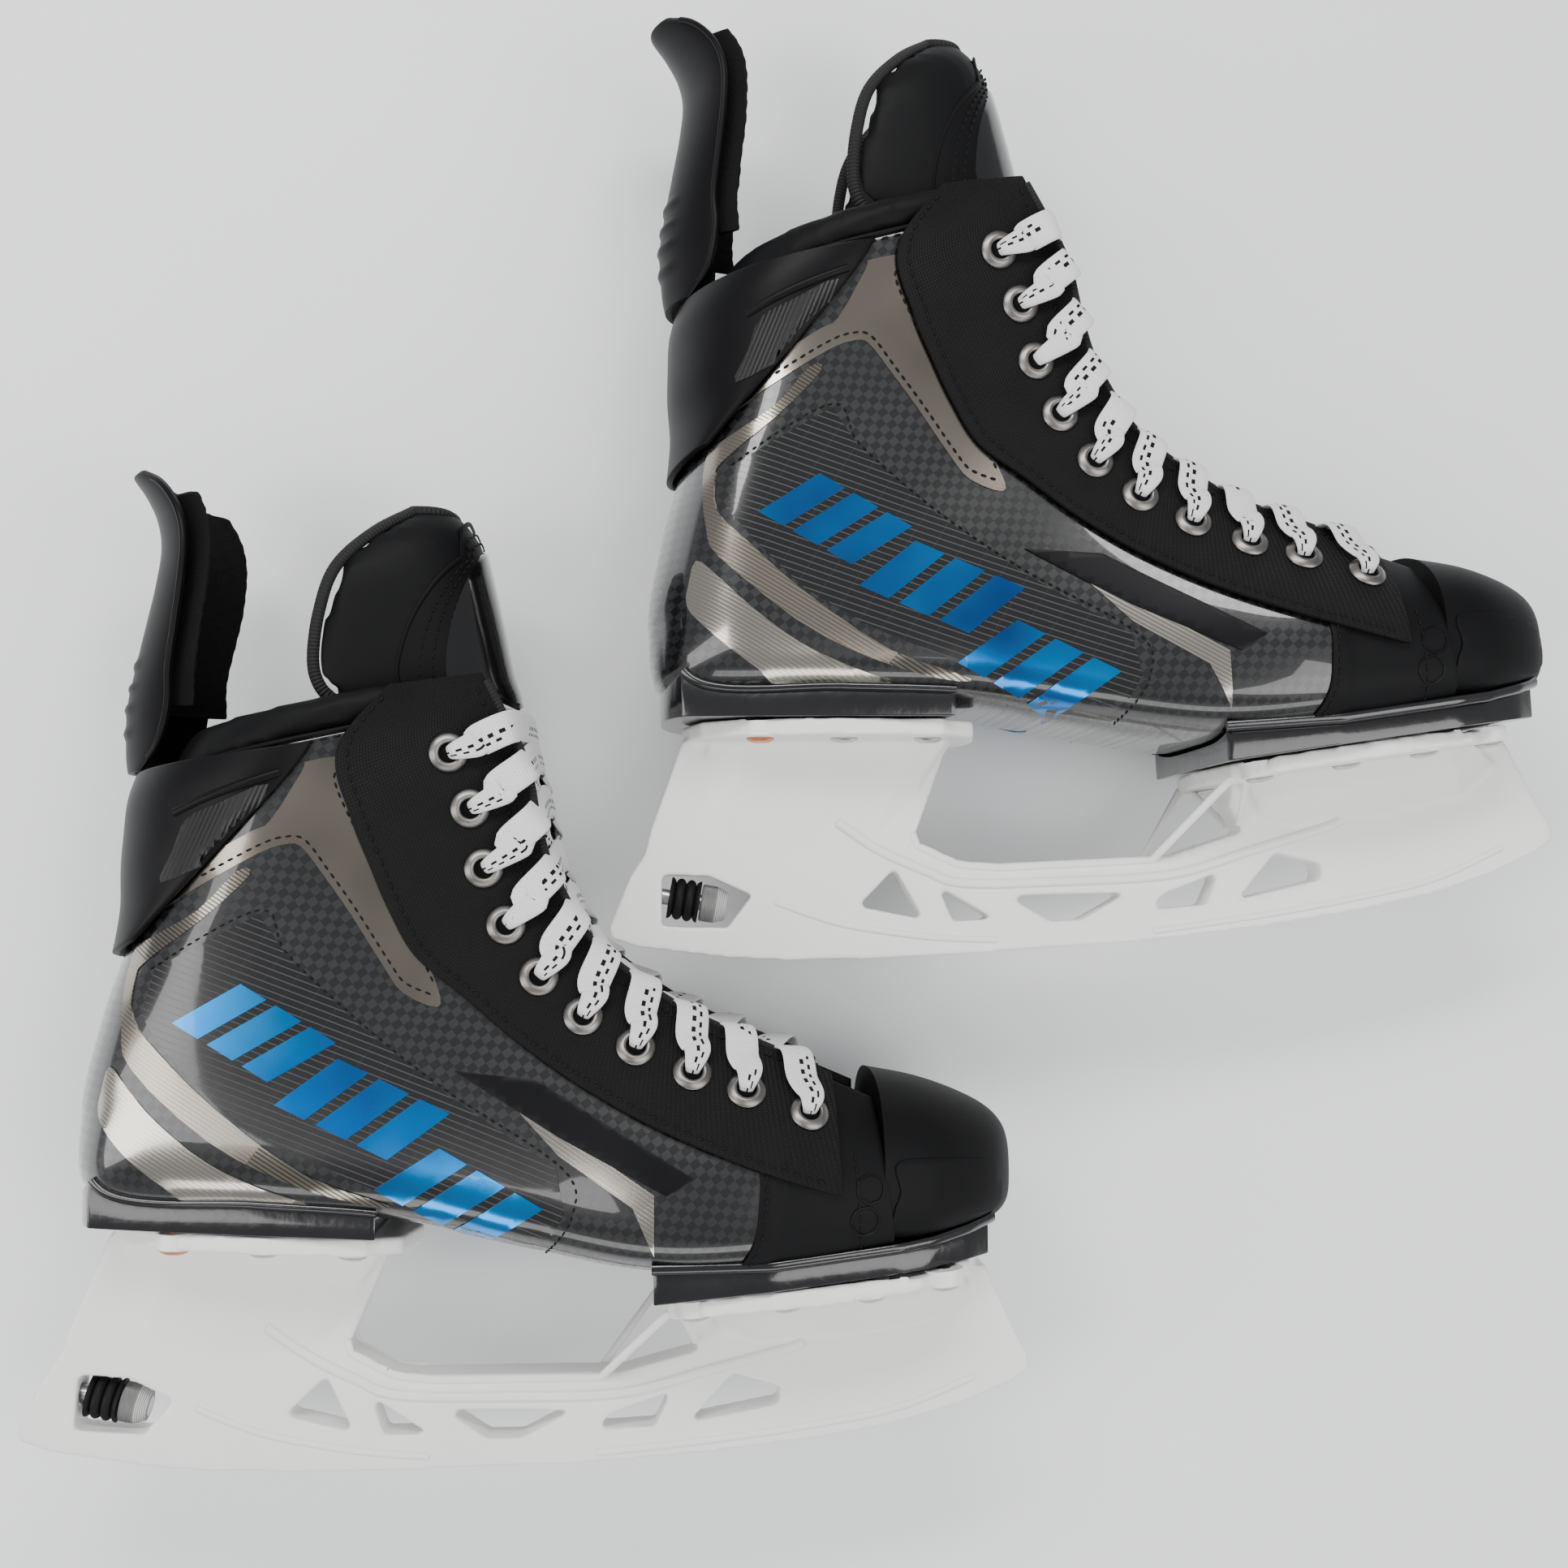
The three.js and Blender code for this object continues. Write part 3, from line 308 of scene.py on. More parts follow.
def hatchFinish():
    look = Finish("hatch", Roughness=0.22, Coat_Weight=1.0, Coat_Roughness=0.05)
    x, y = look.uv()
    line = ((y * 0.93 + x * 0.36) / 1.9).fraction() < 0.16
    cross = ((x * 0.82 - y * 0.57) / 7.0).fraction() < 0.03
    look.put("Base Color", look.mix(line + cross * 0.4, (0.0018, 0.0018, 0.002), (0.03, 0.03, 0.032)))
    look.put("Roughness", line * 0.35 + 0.2)
    look.bump(line, 0.5, 0.12)
    return look.material


def whiteFinish():
    look = Finish("white_plastic", Roughness=0.32, Specular_IOR_Level=0.5, Subsurface_Weight=0.0)
    cloud = look.noise(30, 4)
    scuff = look.noise(240, 5)
    look.put("Base Color", look.mix(cloud, (0.76, 0.76, 0.73), (0.82, 0.82, 0.79)))
    look.put("Roughness", scuff * 0.25 + 0.2)
    look.bump(scuff, 0.08, 0.12)
    return look.material


def laceFinish():
    look = Finish("lace", Roughness=0.9, Specular_IOR_Level=0.2)
    x, y = look.uv()
    dash = (x / 3.4).fraction() < 0.5
    shifted = (x / 3.4 + 0.5).fraction() < 0.5
    upper = ((y - 0.2).size() < 0.42) * dash
    lower = ((y - 1.7).size() < 0.42) * shifted
    brick = (y / 0.8 + (x / 0.9).whole() * 0.5).fraction()
    weave = ((x / 0.9).fraction() - 0.5).size() * (brick - 0.5).size()
    length = look.noise(60, 1)
    ink = (upper + lower) * (length > 0.47)
    # Painted shade in the weave: the white is darker where the weave relief is low and lighter where it is
    # raised.
    white = look.mix(weave * 3.5, (0.62, 0.62, 0.62), (0.93, 0.93, 0.93))
    look.put("Base Color", look.mix(ink, white, (0.006, 0.006, 0.007)))
    look.bump(weave, 1.0, 0.5)
    return look.material


def metalFinish(name, tone, rough, grain=700):
    look = Finish(name, Metallic=1.0, Roughness=rough)
    cloud = look.noise(grain, 3)
    look.put("Base Color", look.mix(cloud, tuple(c * 0.8 for c in tone), tone))
    look.put("Roughness", cloud * 0.15 + rough)
    look.bump(cloud, 0.06, 0.05)
    return look.material


def ribFinish(name, tone, rough, pitch, slope=(0.0, 1.0)):
    look = Finish(name, Roughness=rough)
    x, y = look.uv()
    wave = (((x * slope[0] + y * slope[1]) / pitch).fraction() - 0.5).size() * 2
    # Painted shade: the base colour follows the rib relief, darker in the grooves and lighter on the crests.
    look.put("Base Color", look.mix(wave, tuple(c * 0.4 for c in tone), tuple(c * 1.5 for c in tone)))
    look.put("Roughness", wave * 0.2 + rough)
    look.bump(wave, 0.9, pitch * 0.35)
    return look.material


finishes = {
    "carbon": carbonFinish(),
    "leather": matteFinish("black_leather", (0.0036, 0.0037, 0.0042), 0.56, 1400, 0.06),
    "moulded": matteFinish("black_moulded", (0.004, 0.004, 0.0046), 0.42, 600, 0.04),
    "nylon": nylonFinish(),
    "felt": feltFinish(),
    "gloss": glossFinish("gloss_black", (0.005, 0.005, 0.006), 0.12),
    "outsole": glossFinish("outsole_black", (0.006, 0.006, 0.007), 0.16, 0.35),
    "patent": glossFinish("patent_black", (0.0035, 0.0035, 0.004), 0.06, 0.12),
    "bronze": foilFinish("bronze_foil", (0.15, 0.127, 0.104), (0.4, 0.35, 0.295), 0.2, 16),
    "bronzeLines": foilFinish("bronze_lines", (0.04, 0.034, 0.028), (0.3, 0.265, 0.22), 0.2, 16, 0.9),
    "champagne": foilFinish("champagne_foil", (0.2, 0.175, 0.15), (0.5, 0.46, 0.4), 0.16, 12, 0.35),
    "blue": foilFinish("blue_foil", (0.0, 0.1, 0.42), (0.0, 0.36, 0.92), 0.2, 26),
    "hatch": hatchFinish(),
    "plate": matteFinish("satin_plate", (0.006, 0.006, 0.007), 0.35, 900, 0.02),
    "white": whiteFinish(),
    "lace": laceFinish(),
    "thread": matteFinish("black_thread", (0.006, 0.006, 0.0065), 0.5, 1800, 0.1),
    "nickel": metalFinish("dark_nickel", (0.24, 0.225, 0.21), 0.3),
    "steel": metalFinish("bright_steel", (0.62, 0.62, 0.61), 0.24),
    "copper": metalFinish("bare_copper", (0.72, 0.29, 0.16), 0.28),
    "rubber": matteFinish("black_rubber", (0.008, 0.008, 0.008), 0.5, 500, 0.05),
    "hole": matteFinish("dark_bore", (0.002, 0.002, 0.002), 0.9, 400, 0.02),
    "ribbed": ribFinish("ribbed_black", (0.005, 0.005, 0.0055), 0.4, 1.15, (0.9, -0.43)),
    "knurled": ribFinish("ribbed_steel", (0.5, 0.5, 0.49), 0.3, 1.0, (0.0, 1.0)),
    "binding": ribFinish("ribbed_binding", (0.005, 0.005, 0.0055), 0.7, 1.1, (1.0, 0.0)),
}
print("materials ready")

# ---- the boot surface ----
# Each rib is a cut from the middle of the sole or heel (foot) to the throat edge (throat), rounded
# below the height low: throat x, throat y, foot x, foot y, half width, low, squareness, half gap.
ribs = [
    (230, 109, 236, 65, 45, 20, 3.8, 28),
    (202, 121, 200, 61, 49, 22, 4, 26),
    (177, 132, 164, 60, 47, 24, 4, 25),
    (159, 144, 128, 66.5, 42, 28, 4, 26),
    (147, 155, 92, 74.5, 39, 32, 4.4, 27),
    (140, 167, 52, 77.5, 38, 38, 4.2, 28),
    (135, 178, 6, 80, 38, 42, 2.8, 29),
    (132, 190, -1, 103, 38, 42, 2.1, 30),
    (130, 201, 4, 130, 38, 40, 2.1, 31),
    (127, 210, 13, 160, 39, 42, 2.1, 32),
    (122, 220, 19, 194, 41, 45, 2.1, 33),
    (116, 231, 29, 217, 42, 48, 2.1, 34),
]
wall = {"shell": 3, "liner": 3, "linerGap": 0.6, "eyestay": 1.6, "drape": 1.0, "cuff": 9, "tongue": 8}
toeLean = 5


def between(values, s):
    i = min(max(math.floor(s), 0), len(values) - 2)
    f = s - i
    b, c = values[i], values[i + 1]
    a = values[i - 1] if i > 0 else 2 * b - c
    d = values[i + 2] if i < len(values) - 2 else 2 * c - b
    return b + 0.5 * f * (c - a + f * (2 * a - 5 * b + 4 * c - d + f * (3 * (b - c) + d - a)))


ribColumns = list(zip(*ribs))


def skinPoint(s, v):
    throatX, throatY, footX, footY, wide, low, square, gap = (between(column, s) for column in ribColumns)
    depth = math.hypot(throatX - footX, throatY - footY)
    turn = min(abs(v) * 2, 1) * math.pi / 2
    rise = max(abs(v) * 2 - 1, 0)
    bend = 2 / square
    height = low * (1 - max(math.cos(turn), 0) ** bend)
    half = wide * math.sin(turn) ** bend
    if rise > 0:
        height = low + (depth - low) * rise
        half = wide - (wide - gap) * rise * rise
    share = height / depth
    x = footX + (throatX - footX) * share
    y = footY + (throatY - footY) * share
    return Vector((x, y, math.copysign(half, v)))


def skinNormal(s, v):
    step = 0.02
    alongRibs = skinPoint(s + step, v) - skinPoint(s - step, v)
    around = skinPoint(s, v + step) - skinPoint(s, v - step)
    return around.cross(alongRibs).normalized()


def offSkin(s, v, offset):
    return skinPoint(s, v) + skinNormal(s, v) * offset


def inFromThroat(s, distance):
    step = 0.01
    v = 1
    walked = 0
    before = skinPoint(s, v)
    while walked < distance and v > 0.5:
        here = skinPoint(s, v - step)
        stride = (here - before).length
        v -= step * min((distance - walked) / stride, 1)
        walked += stride
        before = here
    return v


def inFromHeel(s, distance):
    throatX, throatY, footX, footY, wide, low, square, gap = (between(column, s) for column in ribColumns)
    depth = math.hypot(throatX - footX, throatY - footY)
    if distance >= low:
        return 0.5 + (distance - low) / (depth - low) / 2
    return math.acos((1 - distance / low) ** (square / 2)) / math.pi


# ---- making pieces ----
def deselect():
    bpy.ops.object.select_all(action="DESELECT")


def applyAll(piece):
    deselect()
    piece.select_set(True)
    bpy.context.view_layer.objects.active = piece
    for modifier in list(piece.modifiers):
        bpy.ops.object.modifier_apply(modifier=modifier.name)


def addModifier(piece, kind, **settings):
    modifier = piece.modifiers.new(kind.lower(), kind)
    for label, value in settings.items():
        setattr(modifier, label, value)
    return modifier


def roundEdges(piece, width):
    sharp = math.radians(55)
    addModifier(piece, "BEVEL", width=width * mm, segments=2, limit_method="ANGLE", angle_limit=sharp)
    applyAll(piece)


def faceOut(piece):
    mesh = bmesh.new()
    mesh.from_mesh(piece.data)
    bmesh.ops.remove_doubles(mesh, verts=mesh.verts, dist=0.00002)
    bmesh.ops.dissolve_degenerate(mesh, edges=mesh.edges, dist=0.00001)
    bmesh.ops.recalc_face_normals(mesh, faces=mesh.faces)
    mesh.to_mesh(piece.data)
    mesh.free()


def smoothShade(piece, angle=40):
    deselect()
    piece.select_set(True)
    bpy.context.view_layer.objects.active = piece
    bpy.ops.object.shade_smooth_by_angle(angle=math.radians(angle))


def setMap(piece, spots):
    layer = piece.data.uv_layers.get("UVMap") or piece.data.uv_layers.new(name="UVMap")
    for loop in piece.data.loops:
        layer.data[loop.index].uv = spots[loop.vertex_index]


# A wall: a flat grid given a thickness, whose points then go to place(u, w, deep), with deep 0
# on the outside and 1 on the inside. The map is in millimetres along and across the wall.
def wallPiece(rows, columns, place, bevel=0.0, sideMap=False):
    deselect()
    bpy.ops.mesh.primitive_grid_add(x_subdivisions=rows, y_subdivisions=columns, size=2)
    piece = bpy.context.object
    addModifier(piece, "SOLIDIFY", thickness=1, offset=-1)
    applyAll(piece)
    steps = 16
    middleRow = [Vector(place(i / steps, 0.5, 0)) for i in range(steps + 1)]
    middleColumn = [Vector(place(0.5, i / steps, 0)) for i in range(steps + 1)]
    long = sum((b - a).length for a, b in zip(middleRow, middleRow[1:]))
    wide = sum((b - a).length for a, b in zip(middleColumn, middleColumn[1:]))
    spots = []
    for vertex in piece.data.vertices:
        u, w, deep = (vertex.co.x + 1) / 2, (vertex.co.y + 1) / 2, -vertex.co.z
        point = Vector(place(u, w, deep))
        spots.append((point.x, point.y) if sideMap else (u * long, (w - 0.5) * wide))
        vertex.co = point * mm
    setMap(piece, spots)
    faceOut(piece)
    if bevel:
        roundEdges(piece, bevel)
    smoothShade(piece)
    return piece


# A rounded solid: u goes round the section and w along it, and its ends are closed.
def tubePiece(around, along, place, closed=False, mapAt=None):
    deselect()
    bpy.ops.mesh.primitive_grid_add(x_subdivisions=around, y_subdivisions=along, size=2)
    piece = bpy.context.object
    spots = []
    for vertex in piece.data.vertices:
        u, w = (vertex.co.x + 1) / 2, (vertex.co.y + 1) / 2
        spots.append(mapAt(u, w) if mapAt else (u * 40, w * 100))
        vertex.co = Vector(place(u, w)) * mm
    setMap(piece, spots)
    mesh = bmesh.new()
    mesh.from_mesh(piece.data)
    bmesh.ops.remove_doubles(mesh, verts=mesh.verts, dist=0.00001)
    if not closed:
        bmesh.ops.holes_fill(mesh, edges=[edge for edge in mesh.edges if edge.is_boundary])
    bmesh.ops.recalc_face_normals(mesh, faces=mesh.faces)
    mesh.to_mesh(piece.data)
    mesh.free()
    smoothShade(piece, 50)
    return piece


# Turned pieces: a profile of (radius, along) pairs about a line.
def turnedPiece(profile, origin, direction, around=40):
    direction = Vector(direction).normalized()
    across = direction.orthogonal().normalized()
    above = direction.cross(across)

    def place(u, w):
        i = round(w * (len(profile) - 1))
        radius, along = profile[i]
        turn = 2 * math.pi * u
        outward = across * math.cos(turn) + above * math.sin(turn)
        return Vector(origin) + direction * along + outward * radius

    return tubePiece(around, len(profile) - 1, place)


def swapSides(text):
    return text.replace("upper", "?").replace("lower", "upper").replace("?", "lower")


def treeOf(piece):
    mesh = bmesh.new()
    mesh.from_mesh(piece.data)
    tree = BVHTree.FromBMesh(mesh)
    mesh.free()
    return tree


# Makes the right and the left copy of a finished piece and says what each one rides on.
def fitPair(piece, label, look, slot, body=None, hides=(), lean=True):
    if lean:
        for vertex in piece.data.vertices:
            share = max((vertex.co.x / mm - 110) / (274 - 110), 0)
            vertex.co.z -= toeLean * share * share * mm
    for skate in skates:
        named = label if skate.side > 0 else swapSides(label)
        mesh = piece.data.copy()
        mesh.transform(skate.matrix())
        if skate.side < 0:
            mesh.flip_normals()
        copy = bpy.data.objects.new(f"{skate.name}_{named}_look", mesh)
        bpy.context.collection.objects.link(copy)
        mesh.materials.clear()
        mesh.materials.append(finishes[look])
        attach(copy, f"{skate.name}_{body}" if body else fixedBody)
        if hides:
            nodes = [node if skate.side > 0 else swapSides(node) for node in hides]
            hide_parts(*[f"{skate.name}_{node}" for node in nodes])
    bpy.data.objects.remove(piece)


# ---- shapes laid on a surface ----
def onSurface(tree, x, y, side, rise):
    start = Vector((x, y, side * 120)) * mm
    spot, normal, index, distance = tree.ray_cast(start, Vector((0, 0, -side)))
    if spot is None:
        spot, normal, index, distance = tree.find_nearest(Vector((x, y, side * 30)) * mm)
    if normal.z * side < 0:
        normal = -normal
    return spot / mm + normal * rise, normal


def curveThrough(points, steps=8, closed=False):
    count = len(points)
    ends = points if not closed else points + points[:1]
    out = []
    for i in range(len(ends) - 1):
        a = Vector(points[(i - 1) % count] if closed else points[max(i - 1, 0)])
        b, c = Vector(ends[i]), Vector(ends[i + 1])
        d = Vector(points[(i + 2) % count] if closed else points[min(i + 2, count - 1)])
        for k in range(steps):
            f = k / steps
            out.append(b + 0.5 * f * (c - a + f * (2 * a - 5 * b + 4 * c - d + f * (3 * (b - c) + d - a))))
    if not closed:
        out.append(Vector(ends[-1]))
    return out


# A flat shape cut to an outline seen from the side, gridded and laid on the surface.
def patchPiece(tree, points, side, rise, thick, step=3.0, bevel=0.0):
    corners = [Vector(p) for p in points]
    area = sum(a.x * b.y - b.x * a.y for a, b in zip(corners, corners[1:] + corners[:1]))
    if area < 0:
        corners.reverse()
    deselect()
    bpy.ops.mesh.primitive_circle_add(vertices=len(corners), radius=1, fill_type="NGON")
    piece = bpy.context.object
    for vertex, corner in zip(piece.data.vertices, corners):
        vertex.co = (corner.x, corner.y, 0)
    bpy.ops.object.mode_set(mode="EDIT")
    for axis in (0, 1):
        low = min(corner[axis] for corner in corners)
        high = max(corner[axis] for corner in corners)
        normal = (1, 0, 0) if axis == 0 else (0, 1, 0)
        for k in range(1, int((high - low) / step) + 1):
            place = [0, 0, 0]
            place[axis] = low + k * step
            bpy.ops.mesh.select_all(action="SELECT")
            bpy.ops.mesh.bisect(plane_co=place, plane_no=normal)
    bpy.ops.object.mode_set(mode="OBJECT")
    addModifier(piece, "SOLIDIFY", thickness=1, offset=-1)
    applyAll(piece)
    spots = []
    for vertex in piece.data.vertices:
        x, y, deep = vertex.co.x, vertex.co.y, -vertex.co.z
        spots.append((x, y))
        vertex.co = onSurface(tree, x, y, side, rise - thick * deep)[0] * mm
    setMap(piece, spots)
    mesh = bmesh.new()
    mesh.from_mesh(piece.data)
    bmesh.ops.recalc_face_normals(mesh, faces=mesh.faces)
    mesh.to_mesh(piece.data)
    mesh.free()
    if bevel:
        roundEdges(piece, bevel)
    smoothShade(piece)
    return piece


# One small thread shape, repeated along a run of places and joined as one piece.
stitch = {"length": 2.3, "gap": 1.1, "thick": 0.75}


def stitchPiece(runs, length=stitch["length"], gap=stitch["gap"], thick=stitch["thick"]):
    deselect()
    bpy.ops.mesh.primitive_uv_sphere_add(segments=6, ring_count=5, radius=0.5)
    thread = bpy.context.object
    out = bmesh.new()
    for run in runs:
        walked = 0
        due = length / 2
        for (a, normalA), (b, normalB) in zip(run, run[1:]):
            span = (b - a).length
            while span > 0 and walked + span >= due:
                f = (due - walked) / span
                ahead = (b - a).normalized()
                up = (normalA.lerp(normalB, f)).normalized()
                across = up.cross(ahead).normalized()
                turn = Matrix((across, ahead, ahead.cross(across) * -1)).transposed().to_4x4()
                place = Matrix.Translation(a.lerp(b, f) * mm) @ turn
                place = place @ Matrix.Diagonal((thick * mm, length * mm, thick * 0.8 * mm, 1))
                before = len(out.verts)
                out.from_mesh(thread.data)
                out.verts.ensure_lookup_table()
                bmesh.ops.transform(out, matrix=place, verts=out.verts[before:])
                due += length + gap
            walked += span
    bmesh.ops.recalc_face_normals(out, faces=out.faces)
    out.to_mesh(thread.data)
    out.free()
    smoothShade(thread, 80)
    return thread


# A round bead along a run of places, given as (place, normal) pairs.
def beadPiece(run, wide, high, closed=False, around=10):
    places = [spot for spot, normal in run]
    normals = [normal for spot, normal in run]
    lengths = [0]
    for a, b in zip(places, places[1:]):
        lengths.append(lengths[-1] + (b - a).length)
    count = len(places) - 1

    def place(u, w):
        i = min(round(w * count), count)
        if closed and i == count:
            i = 0
        a = places[max(i - 1, 0)] if not closed else places[(i - 1) % count]
        b = places[min(i + 1, count)] if not closed else places[(i + 1) % count]
        ahead = (b - a).normalized()
        up = (normals[i] - ahead * normals[i].dot(ahead)).normalized()
        across = ahead.cross(up)
        turn = 2 * math.pi * u
        return places[i] + across * math.cos(turn) * wide / 2 + up * math.sin(turn) * high / 2

    def mapAt(u, w):
        return (lengths[min(round(w * count), count)], u * wide * 3)

    return tubePiece(around, count, place, closed, mapAt)


def skinRun(marks, rise):
    return [(offSkin(s, v, rise), skinNormal(s, v)) for s, v in marks]


def surfaceRun(tree, points, side, rise):
    return [onSurface(tree, p.x, p.y, side, rise) for p in points]


# ---- boot shell and lining ----
shellSpan = (1.05, 10.25)


def shellPlace(u, w, deep):
    s = shellSpan[0] + (shellSpan[1] - shellSpan[0]) * u
    return offSkin(s, 2 * w - 1, -wall["shell"] * deep)


def makeShell():
    piece = wallPiece(110, 84, shellPlace, 0.5, sideMap=True)
    tree = treeOf(piece)
    fitPair(piece, "shell", "carbon", "carbon", hides=("shell",))
    return tree


def makeLining():
    outer = wall["shell"] + wall["linerGap"]

    def linerPlace(u, w, deep):
        return offSkin(1.05 + 9.08 * u, 0.75 * (2 * w - 1), -outer - wall["liner"] * deep)

    fitPair(wallPiece(60, 44, linerPlace, 0.4), "liner", "felt", "felt", hides=("liner",))
    under = wall["shell"] + wall["liner"] + 0.8

    def bedPlace(u, w, deep):
        edge = (1 - abs(2 * w - 1) ** 6) * (1 - abs(2 * u - 1) ** 12)
        return offSkin(1.8 + 4.2 * u, 0.25 * (2 * w - 1), -under - 4 * (1 - deep) * (0.3 + 0.7 * edge))

    fitPair(wallPiece(50, 24, bedPlace, 0.5), "footbed", "felt", "felt", hides=("footbed",))


# ---- padded collar ----
collar = {"bottom": 10.31, "top": 11.0, "reach": 0.93, "square": 2.6}


def collarPlace(u, w):
    turn = 2 * math.pi * u
    bend = 2 / collar["square"]
    reach = math.copysign(abs(math.cos(turn)) ** bend, math.cos(turn))
    lift = math.copysign(abs(math.sin(turn)) ** bend, math.sin(turn))
    middle = (collar["bottom"] + collar["top"]) / 2
    s = middle + (collar["top"] - collar["bottom"]) / 2 * lift
    v = collar["reach"] * (2 * w - 1)
    return offSkin(s, v, -wall["cuff"] / 2 + wall["cuff"] / 2 * reach)


def plump(piece, cell, pressure, cap):
    addModifier(piece, "REMESH", mode="VOXEL", voxel_size=cell * mm)
    applyAll(piece)
    rest = [vertex.co.copy() for vertex in piece.data.vertices]
    cloth = piece.modifiers.new("cloth", "CLOTH")
    cloth.settings.use_pressure = True
    cloth.settings.uniform_pressure_force = pressure
    cloth.settings.effector_weights.gravity = 0
    cloth.settings.quality = 4
    for step in range(1, 21):
        bpy.context.scene.frame_set(step)
    shaped = piece.evaluated_get(bpy.context.evaluated_depsgraph_get()).to_mesh()
    moved = [vertex.co.copy() for vertex in shaped.vertices]
    piece.modifiers.remove(cloth)
    bpy.context.scene.frame_set(1)
    for vertex, start, end in zip(piece.data.vertices, rest, moved):
        step = end - start
        reach = min(step.length, cap * mm)
        vertex.co = start + (step.normalized() * reach if step.length > 0 else step)
    addModifier(piece, "SUBSURF", levels=1, render_levels=1)
    applyAll(piece)
    faceOut(piece)
    smoothShade(piece, 80)


def makeCollar():
    piece = tubePiece(28, 90, collarPlace)
    plump(piece, 2.6, 3.0, 0.6)
    fitPair(piece, "cuff", "leather", "matte_black", hides=("cuff",))
    seam = skinRun([(10.31, -0.72 + 1.44 * i / 90) for i in range(91)], 0.1)
    lower = skinRun([(10.2, -0.72 + 1.44 * i / 90) for i in range(91)], 0.35)
    fitPair(beadPiece(seam, 1.4, 0.9), "collar_seam", "leather", "matte_black")
    fitPair(stitchPiece([lower], 2.6, 1.2, 0.8), "collar_stitches", "thread", "matte_black")


# ---- toe wrap and toe cap ----
# How far back the wrap reaches at v: a wavy edge that laps over the shell.
def wrapEnd(v):
    return 1.22 + 0.07 * math.sin(abs(v) * 9)


def makeToeWrap():
    def wrapPlace(u, w, deep):
        v = 2 * w - 1
        s = 0.02 + (wrapEnd(v) - 0.02) * u
        lap = min(max((s - 0.95) / 0.12, 0), 1)
        thick = wall["shell"] * (1 - lap) + 0.8 * lap
        return offSkin(s, v, 0.15 + 0.75 * lap - thick * deep)

    piece = wallPiece(26, 96, wrapPlace, 0.6)
    fitPair(piece, "toe_wrap", "leather", "matte_black", hides=("toe_wrap",))
    sides = [i / 60 * 1.36 - 0.68 for i in range(61)]
    rear = skinRun([(wrapEnd(v) - 0.06, v) for v in sides], 1.05)
    front = skinRun([(0.3, v) for v in sides], 0.3)
    fitPair(stitchPiece([rear, front]), "toe_wrap_stitches", "thread", "matte_black")


# Rings of the toe box: x, bottom, top and half width, back edge first.
toeRings = [
    (231.5, 65, 115.3, 45.2), (246, 66.5, 112.5, 41), (258, 69, 108.5, 34),
    (267, 71.5, 104, 26), (272, 75, 99, 17), (274, 80, 93, 8),
]
toeColumns = list(zip(*toeRings))
bossRadius = 3.9


def toePlace(u, w):
    s = w * (len(toeRings) - 1)
    x, bottom, top, half = (between(column, s) for column in toeColumns)
    waist = bottom + (top - bottom) * 0.45
    turn = 2 * math.pi * u
    bend = 2 / (3.6 if math.cos(turn) > 0 else 2.5)
    z = math.copysign(half * abs(math.sin(turn)) ** bend, math.sin(turn))
    reach = abs(math.cos(turn)) ** bend
    y = waist - (waist - bottom) * reach if math.cos(turn) > 0 else waist + (top - waist) * reach
    return (x, y, z)


def makeToeCap():
    piece = tubePiece(72, 40, toePlace)
    tree = treeOf(piece)
    fitPair(piece, "toe_cap", "leather", "matte_black", hides=("toe_cap",))
    panel = [(234.5, 91), (241, 93), (262, 91), (268, 86), (266, 76), (236, 71), (234, 78), (236, 84)]
    for side, name in ((1, "upper"), (-1, "lower")):
        raised = patchPiece(tree, curveThrough(panel, 3, True), side, 0.55, 0.9, 2.5, 0.35)
        fitPair(raised, name + "_toe_panel", "leather", "matte_black")
        for spot, label in (((227.2, 85.2), "first"), ((225.6, 76.4), "second")):
            run = []
            for i in range(24):
                turn = math.pi * i / 12
                x = spot[0] + bossRadius * math.cos(turn)
                y = spot[1] + bossRadius * math.sin(turn)
                run.append(wrapSpot(x, y, side))
            run.append(run[0])
            fitPair(beadPiece(run, 0.7, 0.6, True, 6), f"{name}_{label}_boss", "moulded", "matte_black")
    return tree


# The place on the toe wrap seen from the side at x, y.
def wrapSpot(x, y, side):
    best = None
    for i in range(24):
        for k in range(30):
            s = 1.2 * i / 24
            v = side * (0.2 + 0.6 * k / 30)
            point = skinPoint(s, v)
            miss = (point.x - x) ** 2 + (point.y - y) ** 2
            if best is None or miss < best[0]:
                best = (miss, s, v)
    _, s, v = best
    for shrink in (0.5, 0.25, 0.12):
        for ds in (-1, 0, 1):
            for dv in (-1, 0, 1):
                point = skinPoint(s + ds * 0.05 * shrink, v + dv * 0.02 * shrink)
                miss = (point.x - x) ** 2 + (point.y - y) ** 2
                if miss < best[0]:
                    best = (miss, s + ds * 0.05 * shrink, v + dv * 0.02 * shrink)
        _, s, v = best
    return offSkin(s, v, 0.3), skinNormal(s, v)


# ---- eyestays and eyelets ----
eyestay = {"widths": [36, 40, 38, 36, 36, 40, 46, 49, 51, 51, 47, 26], "from": 0.45, "to": 11.0}
eyelet = {"count": 10, "inset": 19, "first": 0.72, "last": 9.45, "bore": 2.9, "radius": 5.6}
eyestayTop = wall["drape"] + wall["eyestay"]


def eyestayEdge(s):
    return inFromThroat(s, between(eyestay["widths"], s))


